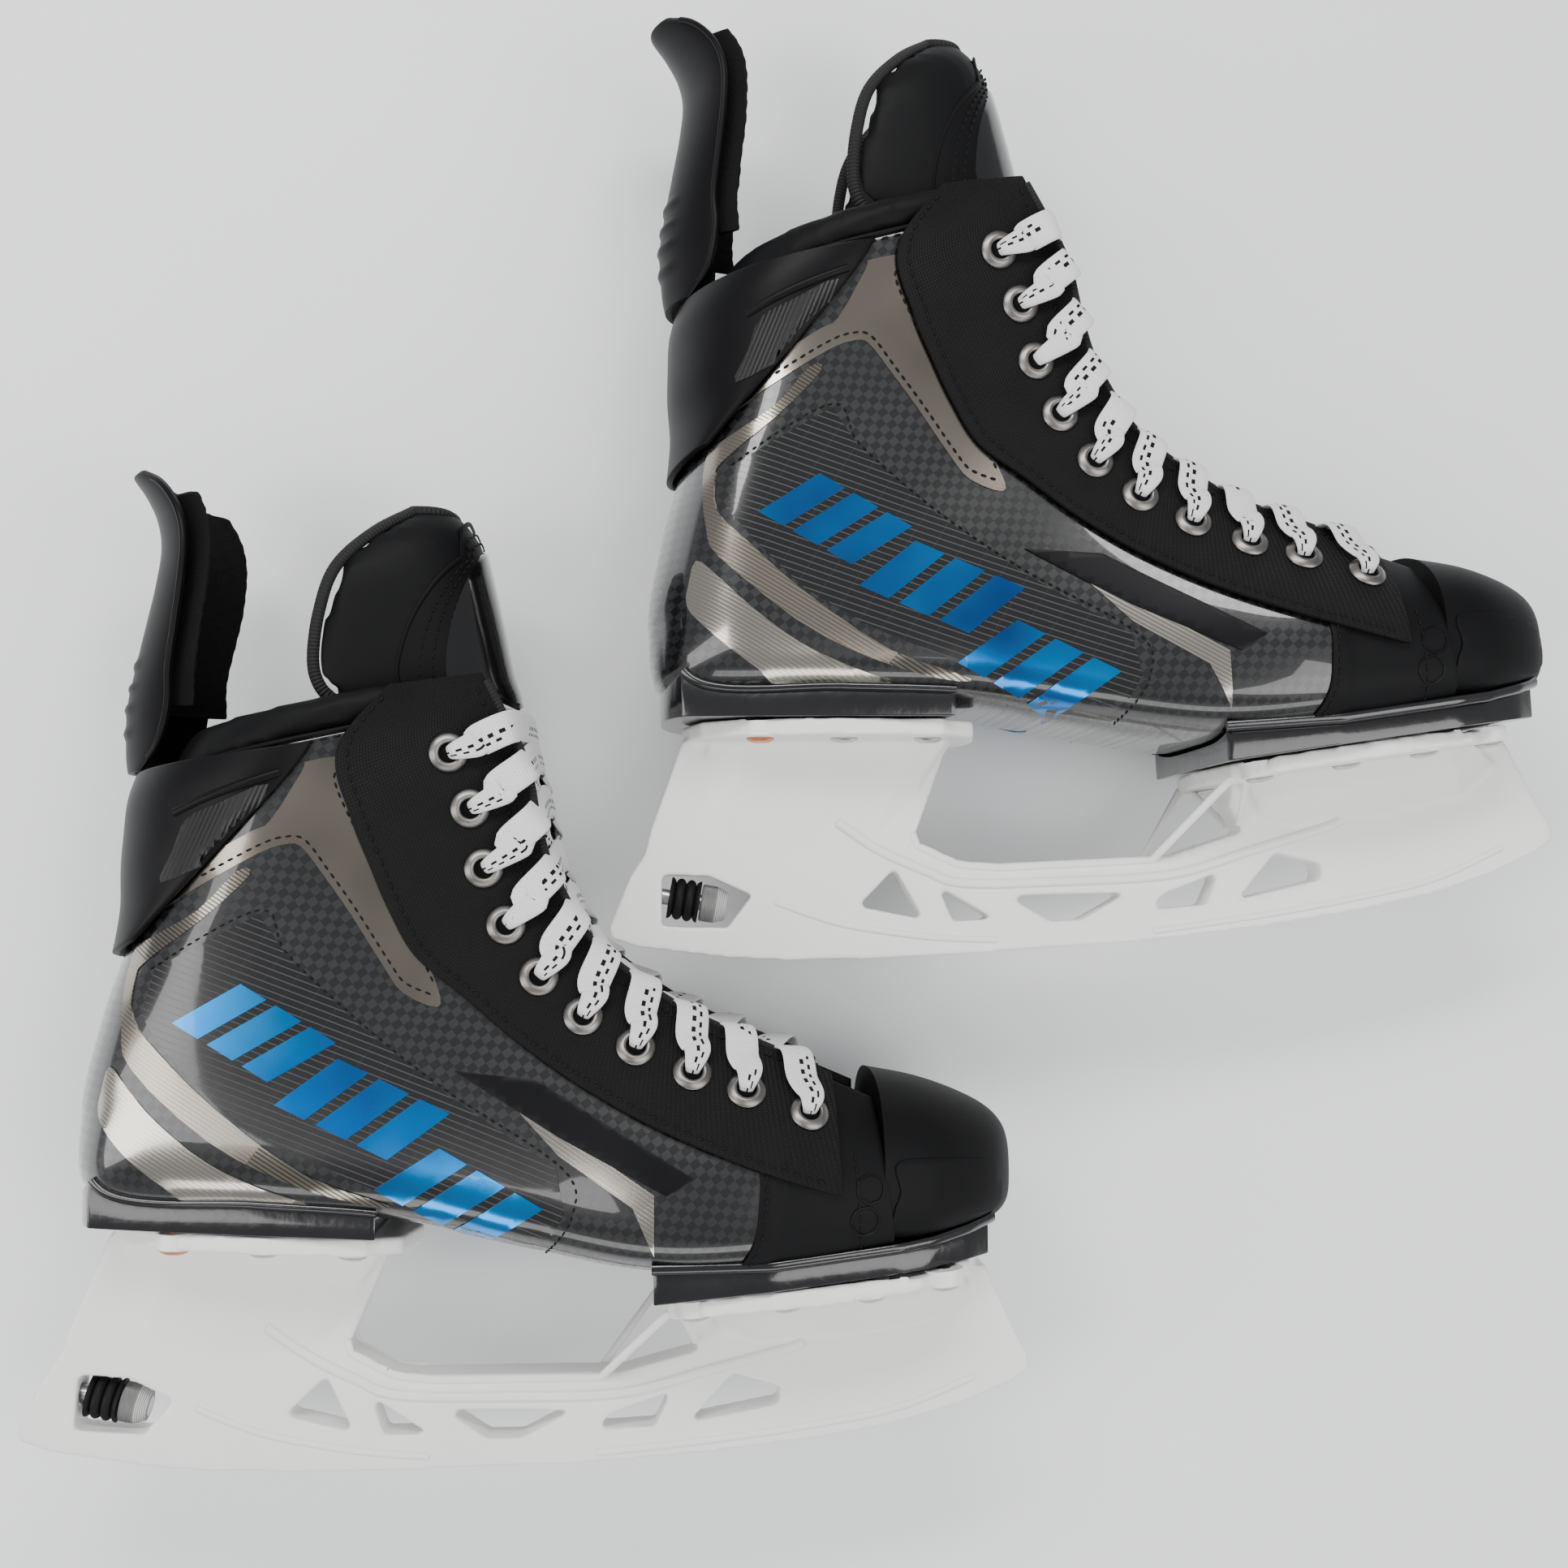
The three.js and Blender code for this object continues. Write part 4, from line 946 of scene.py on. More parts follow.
def makeEyestays():
    for side, name in ((1, "upper"), (-1, "lower")):
        def place(u, w, deep):
            s = eyestay["from"] + (eyestay["to"] - eyestay["from"]) * u
            start = edges[round(u * rows)]
            round4 = min(1, 1.06 - abs(2 * w - 1) ** 9 * 0.1)
            v = side * (start + (1 - start) * w)
            return offSkin(s, v, wall["drape"] + wall["eyestay"] * (1 - deep) * round4)

        rows = 110
        span = eyestay["to"] - eyestay["from"]
        edges = [eyestayEdge(eyestay["from"] + span * i / rows) for i in range(rows + 1)]
        piece = wallPiece(rows, 14, place, 0.45)
        fitPair(piece, name + "_eyestay", "nylon", "nylon", hides=(name + "_eyestay",))
        marks = [0.6 + 10.2 * i / 160 for i in range(161)]
        back = []
        for s in marks:
            edge = eyestayEdge(s)
            back.append((s, side * (edge + (1 - edge) * 0.07)))
        throat = [(s, side * 0.965) for s in marks]
        runs = [skinRun(back, eyestayTop + 0.15), skinRun(throat, eyestayTop + 0.15)]
        fitPair(stitchPiece(runs, 2.4, 1.2, 0.75), name + "_eyestay_stitches", "thread", "nylon")
        rim = skinRun([(s, side * 1.0) for s in marks], eyestayTop - 0.7)
        fitPair(beadPiece(rim, 2.6, 2.2), name + "_throat_binding", "binding", "nylon")


def eyeletRibs():
    marks = []
    walked = 0
    before = None
    for i in range(201):
        s = eyelet["first"] + (eyelet["last"] - eyelet["first"]) * i / 200
        point = skinPoint(s, inFromThroat(s, eyelet["inset"]))
        walked += (point - before).length if before else 0
        before = point
        marks.append((s, walked))
    wanted = [walked * i / (eyelet["count"] - 1) for i in range(eyelet["count"])]
    return [next(s for s, along in marks if along >= mark - 1e-6) for mark in wanted]


eyeletAt = eyeletRibs()


def makeEyelets():
    wide = eyelet["radius"]
    bore = eyelet["bore"]
    profile = [
        (bore - 0.1, -0.5), (bore - 0.1, 0.7), (bore + 0.15, 1.15), (bore + 0.6, 1.4), (bore + 1.2, 1.3),
        (wide - 0.7, 0.75), (wide - 0.15, 0.4), (wide, 0.1), (wide - 0.2, -0.2), (bore - 0.1, -0.5),
    ]
    for side, name in ((1, "upper"), (-1, "lower")):
        rings = bmesh.new()
        holes = bmesh.new()
        ring = turnedPiece(profile, (0, 0, 0), (0, 0, 1), 36)
        deselect()
        bpy.ops.mesh.primitive_circle_add(vertices=24, radius=(bore + 0.05) * mm, fill_type="NGON")
        hole = bpy.context.object
        addModifier(hole, "SOLIDIFY", thickness=0.3 * mm)
        applyAll(hole)
        for s in eyeletAt:
            v = side * inFromThroat(s, eyelet["inset"])
            spot = offSkin(s, v, eyestayTop + 0.45)
            turn = skinNormal(s, v).to_track_quat("Z", "Y").to_matrix().to_4x4()
            for target, source, lift in ((rings, ring, 0), (holes, hole, 0.1)):
                first = len(target.verts)
                target.from_mesh(source.data)
                target.verts.ensure_lookup_table()
                place = Matrix.Translation((spot + skinNormal(s, v) * lift) * mm) @ turn
                bmesh.ops.transform(target, matrix=place, verts=target.verts[first:])
        for target, source in ((rings, ring), (holes, hole)):
            target.to_mesh(source.data)
            target.free()
        smoothShade(ring, 60)
        fitPair(ring, name + "_eyelets", "nickel", "nickel", hides=(name + "_eyelets",))
        fitPair(hole, name + "_eyelet_bores", "hole", "nylon")


# ---- tongue ----
tongueLine = [
    (222, 106.5), (202, 116.5), (181, 127), (164, 137), (151, 148.5), (142, 161.5), (136, 175), (132, 190),
    (128.5, 204), (126.5, 212), (124.6, 221.9),
]
tongueHalf = 21
tongueColumns = list(zip(*tongueLine))


def tongueSpot(share):
    s = share * (len(tongueLine) - 1)
    here = Vector((between(tongueColumns[0], s), between(tongueColumns[1], s), 0))
    ahead = Vector((between(tongueColumns[0], s + 0.05), between(tongueColumns[1], s + 0.05), 0)) - here
    normal = Vector((ahead.y, -ahead.x, 0)).normalized()
    return here, normal


def makeTongue():
    def place(u, w):
        here, normal = tongueSpot(w)
        turn = 2 * math.pi * u
        across = math.copysign(abs(math.cos(turn)) ** 0.5, math.cos(turn))
        lift = math.copysign(abs(math.sin(turn)) ** 0.8, math.sin(turn))
        drop = 5 * across * across + wall["tongue"] / 2 * (1 - lift)
        return here - normal * drop + Vector((0, 0, tongueHalf * across))

    piece = tubePiece(36, 90, place, mapAt=lambda u, w: (w * 160, u * 60))
    fitPair(piece, "tongue", "leather", "matte_black", hides=("tongue",))
    for side, name in ((1, "upper"), (-1, "lower")):
        run = []
        for i in range(91):
            here, normal = tongueSpot(i / 90)
            run.append((here - normal * 6.5 + Vector((0, 0, side * tongueHalf * 0.98)), Vector((0, 0, side))))
        fitPair(beadPiece(run, 3.4, 2.4), name + "_tongue_binding", "binding", "matte_black")


# The upper part of the tongue: height, front, back and half width at each level.
tongueLevels = [
    (222.5, 125, 72, 26), (228, 124.5, 66, 28), (236, 122, 64, 29), (250, 119, 66, 30),
    (263, 116, 71, 30), (274, 113, 82, 26), (283, 108, 95, 17),
]
levelColumns = list(zip(*tongueLevels))


def tongueTopPoint(level, across, inset):
    height, front, back, half = (between(column, level * (len(tongueLevels) - 1)) for column in levelColumns)
    x = front - inset - (front - inset - back) * abs(across) ** 2.4
    z = (half - inset * 0.8 * abs(across)) * math.sin(across * math.pi / 2)
    return Vector((x, height, z))


def makeTongueTop():
    def place(u, w, deep):
        across = 2 * w - 1
        edge = max(1 - abs(across) ** 7, 0) ** 0.5 * max(1 - max(u - 0.5, 0) ** 5 * 31, 0) ** 0.5
        middle = wall["tongue"] / 2
        return tongueTopPoint(u, across * 0.97, middle + (2 * deep - 1) * middle * (0.18 + 0.82 * edge))

    piece = wallPiece(44, 44, place)
    plump(piece, 2.6, 3.0, 0.7)
    fitPair(piece, "tongue_top", "leather", "matte_black", "tongue_flap", ("tongue_top",))
    edge = [(tongueTopPoint(0.02 + 0.96 * i / 40, -0.975, 4), Vector((-1, 0, -1))) for i in range(41)]
    crest = [(tongueTopPoint(0.98, -0.975 + 1.95 * i / 60, 4), Vector((0, 1, 0))) for i in range(1, 60)]
    other = [(tongueTopPoint(0.98 - 0.96 * i / 40, 0.975, 4), Vector((-1, 0, 1))) for i in range(41)]
    bead = beadPiece(edge + crest + other, 4.2, 3.4)
    fitPair(bead, "tongue_top_binding", "binding", "matte_black", "tongue_flap")


patch = {"from": 0.1, "to": 0.8, "half": 0.62, "rise": 1.0}


def patchEdge(level):
    share = (level - patch["from"]) / (patch["to"] - patch["from"])
    return patch["half"] * max(1 - share ** 2.6, 0) ** 0.5


def makeTonguePatch():
    def place(u, w, deep):
        level = patch["from"] + (patch["to"] - patch["from"]) * u
        across = (2 * w - 1) * patchEdge(min(level, patch["to"] - 0.001))
        lift = 1 - abs(2 * w - 1) ** 8
        return tongueTopPoint(level, across, -patch["rise"] * (0.4 + 0.6 * lift) + 1.6 * deep)

    piece = wallPiece(40, 30, place)
    fitPair(piece, "tongue_patch", "patent", "gloss_black", "tongue_flap", ("tongue_plate",))
    runs = []
    for out in (0.05, 0.095, 0.16):
        rise = patch["to"] - patch["from"]
        left = [(patch["from"] + rise * (1 - (1 - i / 50) ** 2), -1) for i in range(51)]
        marks = left + [(level, 1) for level, _ in reversed(left)]
        run = []
        for level, side in marks:
            across = side * (patchEdge(level) + out)
            lift = out * 0.9 if patchEdge(level) < 0.3 else 0
            point = tongueTopPoint(level + lift, across, -0.35)
            run.append((point, Vector((1, 0.1, across)).normalized()))
        runs.append(run)
    fitPair(stitchPiece(runs[:2], 2.0, 0.8, 0.8), "tongue_stitches", "thread", "matte_black", "tongue_flap")
    fitPair(beadPiece(runs[2], 1.6, 0.9, around=8), "tongue_piping", "leather", "matte_black", "tongue_flap")


# ---- tendon guard and its base ----
# Stations up the guard: back line x, y, half width and sweep forward at the edges.
guardLevels = [
    (8.5, 203.6, 17, 7), (8, 211, 22, 14), (8, 223, 23, 17), (10, 234, 23, 15), (13, 247, 25, 14),
    (16, 260, 27, 13), (17.5, 271, 27, 12), (16, 280, 25, 11), (12, 288, 20, 9), (8, 293, 12, 5),
]
guardColumns = list(zip(*guardLevels))
guard = {"thick": 3.2, "felt": 3, "ridges": 4, "ridgeHeight": 0.8}


def guardPoint(level, across, depth, forward=0):
    s = level * (len(guardLevels) - 1)
    x, y, half, sweep = (between(column, s) for column in guardColumns)
    nextX, nextY = between(guardColumns[0], s + 0.1), between(guardColumns[1], s + 0.1)
    ahead = Vector((nextX - x, nextY - y)).normalized()
    inward = Vector((ahead.y, -ahead.x))
    lean = 1 - 0.45 * abs(across)
    edge = (sweep + forward) * across * across
    z = (half - depth * 0.55 * abs(across)) * across
    return Vector((x + edge + inward.x * depth * lean, y + inward.y * depth, z))


def makeGuard():
    def place(u, w, deep):
        across = 2 * w - 1
        ridge = 0
        if 0.14 < u < 0.4 and abs(across) < 0.55:
            ridge = guard["ridgeHeight"] * max(math.sin((u - 0.14) / 0.26 * guard["ridges"] * 2 * math.pi), 0)
            ridge *= min((0.55 - abs(across)) * 8, 1)
        rounding = 0.75 * (abs(across) ** 10 + (2 * u - 1) ** 14 * 0.6)
        depth = guard["thick"] * deep - ridge * (1 - deep) + rounding * (1 - 2 * deep)
        return guardPoint(u, across, depth)

    piece = wallPiece(96, 30, place, 0.4)
    fitPair(piece, "tendon_guard", "moulded", "matte_black", "guard", ("tendon_guard",))
    gap = guard["thick"] + 0.7

    def feltPlace(u, w, deep):
        across = 2 * w - 1
        wave = 0.25 * math.sin(u * 90 + w * 40) + 0.2 * math.sin(w * 130 + u * 17)
        thick = guard["felt"] * (1 - 0.6 * abs(across) ** 8)
        depth = gap + 0.2 + (thick + wave * (deep > 0.5)) * deep
        return guardPoint(0.225 + 0.6 * u, across * 0.985, depth, 5)

    fitPair(wallPiece(50, 30, feltPlace, 0.5), "guard_felt", "felt", "felt", "guard", ("guard_felt",))
    for side, name in ((1, "upper"), (-1, "lower")):
        run = []
        for i in range(81):
            level = 0.06 + 0.88 * i / 80
            run.append((guardPoint(level, side * 0.99, 0.6), Vector((0.2, 0, side)).normalized()))
        fitPair(beadPiece(run, 2.0, 1.7, around=10), name + "_guard_rim", "moulded", "matte_black", "guard")


def makeGuardBase():
    heights = [8.65, 8.87, 9.1, 9.4, 9.7, 9.97, 10.22]
    wings = [12, 20, 28, 38, 46, 50, 51]
    depths = [2, 3, 4, 6, 7, 8, 8]
    gap = 1.3

    def place(u, w, deep):
        t = u * (len(heights) - 1)
        rib = between(heights, t)
        across = 2 * w - 1
        v = inFromHeel(rib, between(wings, t)) * across
        swell = 2 + (between(depths, t) - 2) * (1 - abs(across)) ** 0.7
        swell -= 0.7 * abs(across) ** 12
        return offSkin(rib, v, gap + swell * (1 - deep))

    piece = wallPiece(56, 72, place, 0.5, sideMap=True)
    tree = treeOf(piece)
    fitPair(piece, "guard_base", "moulded", "matte_black", hides=("guard_base",))
    panel = [(28.2, 171), (32, 180), (36, 188.6), (45, 192.8), (59, 198.5), (52, 186.7), (44, 178)]
    bar = [(32, 190.5), (44, 195.5), (62, 201.6)]
    for side, name in ((1, "upper"), (-1, "lower")):
        ribs = patchPiece(tree, curveThrough(panel, 3, True), side, 0.35, 0.7, 2, 0.2)
        fitPair(ribs, name + "_ribbed_panel", "ribbed", "matte_black")
        run = surfaceRun(tree, curveThrough(bar, 10), side, 0.2)
        fitPair(beadPiece(run, 2.4, 1.6), name + "_base_ridge", "moulded", "matte_black")


# ---- soles ----
decks = {
    "rear": {"from": 8, "to": 98, "at": (11, 73.6), "slope": -0.045},
    "front": {"from": 167, "to": 264, "at": (167, 52.5), "slope": 0.1},
}


def deckLevel(deck, x):
    return deck["at"][1] + (x - deck["at"][0]) * deck["slope"]


def makeHeelSole():
    reach = 0.225

    def place(u, w, deep):
        s = 4.15 + 2.03 * u
        top = offSkin(s, reach * (2 * w - 1), 0.9)
        side = abs(2 * w - 1)
        low = deckLevel(decks["rear"], top.x) + 0.4
        f = 1 - deep
        bulge = 0.9 * math.sin(f * math.pi) * (side > 0.96)
        return Vector((top.x, top.y + (low - top.y) * f, top.z * (1 + bulge / 36)))

    piece = wallPiece(46, 40, place, 0.6)
    fitPair(piece, "heel_outsole", "outsole", "gloss_black", hides=("heel_outsole",))
    for side, name in ((1, "upper"), (-1, "lower")):
        marks = [(4.15 + 2.03 * i / 60, side * (reach + 0.006)) for i in range(61)]
        fitPair(beadPiece(skinRun(marks, 0.4), 3.2, 2.4), name + "_heel_welt", "outsole", "gloss_black")


# Stations under the forefoot, toe end first: x, level, half width and rounding height.
underside = [
    (267, 71.5, 26, 18), (258, 69, 34, 18), (246, 66.5, 41, 18), (236, 65, 45, 20), (200, 61, 49, 22),
    (164, 60, 47, 24), (128, 66.5, 42, 28),
]


def undersidePoint(x, share):
    i = 0
    while i < len(underside) - 2 and x < underside[i + 1][0]:
        i += 1
    a, b = underside[i], underside[i + 1]
    f = (a[0] - x) / (a[0] - b[0])
    level, wide, low = (a[k] + (b[k] - a[k]) * f for k in (1, 2, 3))
    rise = low * (1 - (1 - abs(share) ** 4) ** 0.25)
    return Vector((x, level + rise * 0.8 - 0.9, share * wide))


def makeFrontSole():
    def place(u, w, deep):
        x = 264.5 - 98 * u
        top = undersidePoint(x, 0.85 * (2 * w - 1))
        low = deckLevel(decks["front"], x) + 0.4
        return Vector((x, top.y + (low - top.y) * (1 - deep), top.z))

    piece = wallPiece(56, 44, place, 0.6)
    fitPair(piece, "front_outsole", "outsole", "gloss_black", hides=("front_outsole",))
    for side, name in ((1, "upper"), (-1, "lower")):
        run = []
        for i in range(71):
            x = 266 - 100 * i / 70
            run.append((undersidePoint(x, side * 0.88), Vector((0, -0.4, side)).normalized()))
        fitPair(beadPiece(run, 3.4, 2.2), name + "_front_welt", "outsole", "gloss_black")


# ---- lace ----
lace = {"wide": 9.5, "thick": 1.5, "crown": 2.8}


def tongueOver(s):
    point = skinPoint(s, 1)
    best = None
    for i in range(121):
        here, normal = tongueSpot(i / 120)
        miss = math.hypot(here.x - point.x, here.y - point.y)
        if best is None or miss < best[0]:
            best = (miss, here, normal)
    return best[1], best[2]


def lacePoints(i, side):
    count = eyelet["count"]

    def ribOf(k):
        return eyeletAt[k] if k < count else eyeletAt[count - 1] + 0.45

    here, following = ribOf(i), ribOf(min(i + 1, count))
    edge = here + (following - here) * 0.25
    crown = here + (following - here) * 0.55
    beyond = here + (following - here) * 0.82
    inner = inFromThroat(here, eyelet["inset"])
    half = inFromThroat(here, eyelet["inset"] / 2)
    top, topNormal = tongueOver(crown)
    offset = eyestayTop + 0.45
    points = [
        (offSkin(here, side * inner, offset - 0.6), skinNormal(here, side * inner), 3.6),
        (offSkin(here, side * (inner + 0.012), offset + 1.9), skinNormal(here, side * inner), 5.2),
        (offSkin(here, side * (inner + 0.05), offset + 2.5), skinNormal(here, side * inner), 7.8),
        (offSkin((here + edge) / 2, side * half, offset + 1.9), skinNormal(here, side * half), lace["wide"]),
        (offSkin(edge, side * 1.0, offset + 1.9), skinNormal(edge, side), lace["wide"]),
    ]
    lift = Vector((0, 0, side * 13))
    lean = Vector((0, 0, side * 0.25))
    wide = lace["wide"]
    over = lace["crown"] + side * 0.35
    points.append((top + topNormal * over + lift, topNormal + lean, wide))
    points.append((top + topNormal * (lace["crown"] + 0.9 + side * 0.35), topNormal, wide))
    points.append((top + topNormal * (lace["crown"] - 0.5) - lift, topNormal - lean, wide))
    points.append((offSkin(beyond, -side * 1.0, -2.6), skinNormal(beyond, -side), lace["wide"]))
    return points


def lacePiece(points):
    centres = curveThrough([p[0] for p in points], 10)
    normals = curveThrough([p[1] for p in points], 10)
    widths = curveThrough([(p[2], 0, 0) for p in points], 10)
    lengths = [0]
    for a, b in zip(centres, centres[1:]):
        lengths.append(lengths[-1] + (b - a).length)
    count = len(centres) - 1

    def place(u, w):
        i = round(w * count)
        ahead = (centres[min(i + 1, count)] - centres[max(i - 1, 0)]).normalized()
        up = (normals[i] - ahead * normals[i].dot(ahead)).normalized()
        across = ahead.cross(up)
        turn = 2 * math.pi * u
        reach = math.copysign(abs(math.cos(turn)) ** 0.7, math.cos(turn)) * widths[i].x / 2
        rise = math.copysign(abs(math.sin(turn)) ** 0.8, math.sin(turn)) * lace["thick"] / 2
        return centres[i] + across * reach + up * rise

    def mapAt(u, w):
        return (lengths[round(w * count)], math.cos(2 * math.pi * u) * 4.7)

    return tubePiece(20, count, place, mapAt=mapAt)


def makeLaces():
    joinedLace = bmesh.new()
    piece = None
    for i in range(eyelet["count"]):
        for side in (1, -1):
            strip = lacePiece(lacePoints(i, side))
            joinedLace.from_mesh(strip.data)
            if piece:
                bpy.data.objects.remove(strip)
            else:
                piece = strip
    joinedLace.to_mesh(piece.data)
    joinedLace.free()
    smoothShade(piece, 60)
    fitPair(piece, "lace", "lace", "lace", hides=("lace",))


# ---- blade holder ----
holderDetail = {"cell": 0.9, "smooth": 2}
holderRidges = [
    (
        [(54, 42), (66, 33), (80, 26), (92, 21.5), (124, 20.5), (157, 21), (182, 27), (206, 33), (211, 35)],
        3.0, 2.2,
    ),
    ([(34, 18.5), (46, 13.5), (57, 10), (80, 5.6), (101, 3.6)], 2.0, 1.3),
    ([(150, 3.8), (185, 7), (216, 11), (240, 15.5), (262, 24)], 2.0, 1.3),
    ([(78, 37), (88, 30.5), (98, 29.6), (157, 29.6), (179, 35.5)], 2.4, 1.4),
]


def makeHolder():
    node = frame["nodes"]["right_holder"]
    mesh = node.data.copy()
    mesh.transform(skates[0].matrix().inverted() @ node.matrix_world)
    piece = bpy.data.objects.new("holder_work", mesh)
    bpy.context.collection.objects.link(piece)
    faceOut(piece)
    addModifier(piece, "REMESH", mode="VOXEL", voxel_size=holderDetail["cell"] * mm)
    addModifier(piece, "SMOOTH", factor=0.5, iterations=holderDetail["smooth"])
    applyAll(piece)
    smoothShade(piece, 70)
    spots = [(vertex.co.x / mm, vertex.co.y / mm) for vertex in piece.data.vertices]
    setMap(piece, spots)
    tree = treeOf(piece)
    fitPair(piece, "holder", "white", "white", hides=("holder",), lean=False)
    for side, name in ((1, "upper"), (-1, "lower")):
        for k, (points, wide, high) in enumerate(holderRidges):
            run = surfaceRun(tree, curveThrough(points, 8), side, 0)
            for i, (spot, normal) in enumerate(run):
                run[i] = (Vector((spot.x, spot.y, side * max(abs(spot.z), 6.2))), Vector((0, 0, side)))
            bead = beadPiece(run, wide, high, around=10)
            fitPair(bead, f"{name}_holder_ridge_{k + 1}", "white", "white", lean=False)


# ---- rivets ----
rivetSets = [
    ("rear_rivets", "steel", "rear", [(56, 23), (81, 23)]),
    ("copper_rivets", "copper", "rear", [(31, 23)]),
    ("front_rivets", "steel", "front", [(178, 30), (204, 32), (228, 32), (250, 28)]),
]


bossShape = [(2.3, -5.35), (5.0, -5.35), (5.5, -4.9), (5.6, -0.6), (2.3, -0.6)]


def makeRivets():
    for label, look, deckName, spots in rivetSets:
        deck = decks[deckName]
        up = Vector((-deck["slope"], 1, 0)).normalized()
        joinedRivets = bmesh.new()
        keep = None
        for x, z in spots:
            for side in (1, -1):
                spot = Vector((x, deckLevel(deck, x), side * z))
                profile = [
                    (0.01, -6.75), (1.2, -6.8), (2.6, -6.7), (3.8, -6.2),
                    (4.2, -5.7), (4.0, -5.35), (2.1, -5.3),
                    (2.1, -0.4), (0.01, -0.4),
                ]
                piece = turnedPiece(profile, spot, up, 28)
                joinedRivets.from_mesh(piece.data)
                if keep:
                    bpy.data.objects.remove(piece)
                else:
                    keep = piece
        joinedRivets.to_mesh(keep.data)
        joinedRivets.free()
        smoothShade(keep, 45)
        fitPair(keep, label, look, look, hides=(label,), lean=False)
        bosses = bmesh.new()
        for x, z in spots:
            for side in (1, -1):
                ring = turnedPiece(bossShape, Vector((x, deckLevel(deck, x), side * z)), up, 28)
                bosses.from_mesh(ring.data)
                if (x, z, side) != (*spots[-1], -1):
                    bpy.data.objects.remove(ring)
        bosses.to_mesh(ring.data)
        bosses.free()
        smoothShade(ring, 45)
        fitPair(ring, label + "_bosses", "white", "white", lean=False)


# ---- runner lock ----
lockAt = (7, 20.5, 0)
lockDirection = (0.978, -0.208, 0)


def makeLock():
    head = -13.4
    screw = [
        (0.01, head - 1.6), (1.6, head - 1.6), (2.0, head - 1.9), (2.0, head - 3.9), (3.9, head - 4),
        (4.5, head - 3.5), (4.6, head - 2.6), (4.6, head), (2.4, head), (2.4, 9), (0.01, 9),
    ]
    piece = turnedPiece(screw, lockAt, lockDirection, 36)
    fitPair(piece, "lock_screw", "steel", "steel", "screw", ("lock_screw",), lean=False)
    sleeve = [(2.8, -5.5)]
    folds = 3
    for i in range(49):
        along = -5.4 + 9.3 * i / 48
        swell = abs(math.cos(math.pi * folds * i / 48)) ** 0.55
        sleeve.append((4.9 + 1.5 * swell, along))
    sleeve.append((2.8, 3.98))
    piece = turnedPiece(sleeve, lockAt, lockDirection, 40)
    fitPair(piece, "lock_sleeve", "rubber", "rubber", hides=("lock_sleeve",), lean=False)
    barrel = [(2.85, 4.4), (5.2, 4.4), (5.8, 4.9)]
    for i in range(1, 12):
        barrel.append((5.8 - (0.3 if i % 2 else 0), 4.9 + i * 0.33))
    barrel += [(5.6, 8.9), (4.3, 12.2), (3.6, 12.4), (2.85, 12.4)]
    piece = turnedPiece(barrel, lockAt, lockDirection, 40)
    fitPair(piece, "lock_barrel", "knurled", "steel", "barrel", ("lock_barrel",), lean=False)


# ---- decorations laid on the sides of the shell ----
bronzePanel = [
    (68.9, 205), (80.7, 206.4), (78.6, 199.1), (86, 182.2),
    (95.4, 163.8), (104.8, 142.7), (105.4, 136), (95.7, 140),
    (90.3, 147.2), (81, 162), (73.5, 172.9), (67.1, 181.2), (62.5, 181.7), (55.5, 179.2), (41.1, 171.1),
    (27, 162.9), (20.2, 156.5), (19.9, 158.2), (26.5, 169.1),
    (34.9, 174.7), (53.4, 185.3), (58.8, 188.4), (67.6, 202.5),
]
bronzeBand = [
    (53, 173), (39.1, 159.9), (23.8, 148.8), (21, 144.6),
    (20.8, 133.7), (29.1, 123.7), (44.6, 108.4), (69.2, 90.1),
    (92.7, 81.1), (84, 81.5), (64.2, 87.8), (42.6, 99.6),
    (20.9, 119.5), (17.6, 128.6), (17.2, 142), (19.5, 152.5),
    (24.9, 155.5), (39, 163.3), (49.6, 174.2),
]
champagneWedge = [
    (14.2, 119.6), (20.1, 114), (29.3, 104.3), (42.7, 93.5),
    (57.3, 86), (69.8, 80.6), (38.7, 81.4), (30.5, 86.6),
    (20.6, 94.6), (12.4, 103.4), (10.8, 108), (11.5, 112),
]
champagneSliver = [(128, 107.7), (154.5, 92.5), (166.6, 84.6), (166.7, 67.5), (160.7, 81), (140, 95)]
darkPlate = [(110.3, 118.3), (133.2, 115.7), (177.6, 88.9), (170, 84.3), (140, 100)]
blueZones = [
    [(40.6, 136.7), (46.3, 143.1), (68.1, 122.1), (73.7, 115.7)],
    [(67.6, 114.8), (77.3, 121.3), (106, 102.4), (99.6, 93.7)],
    [(95.1, 90.1), (109.6, 100), (134, 72.7), (121.9, 74.2)],
]
contour = [
    (25.5, 146.8), (55.8, 163.3), (63.6, 151.1), (85, 131),
    (109.2, 112.3), (141.4, 91.2), (143.7, 78), (136, 66.5),
]
decals = {"foil": 0.35, "thick": 0.7, "cell": 2.5, "bars": 3}


# Slanted bars across a zone, as parallelograms between two of its edges.
def barsIn(zone, count):
    low = Vector(zone[0]).lerp(Vector(zone[1]), 0.15)
    far = Vector(zone[-2]).lerp(Vector(zone[-1]), 0.4)
    along = far - low
    across = Vector((along.y, -along.x)).normalized()
    reach = min(19, along.length * 0.62)
    bars = []
    for k in range(count):
        a, b = (k + 0.04) / count, (k + 0.78) / count
        lean = along.normalized() * 5
        aside = across * reach * 0.5 - lean
        start, end = low + along * a, low + along * b
        bars.append([tuple(start - aside), tuple(end - aside), tuple(end + aside), tuple(start + aside)])
    return bars


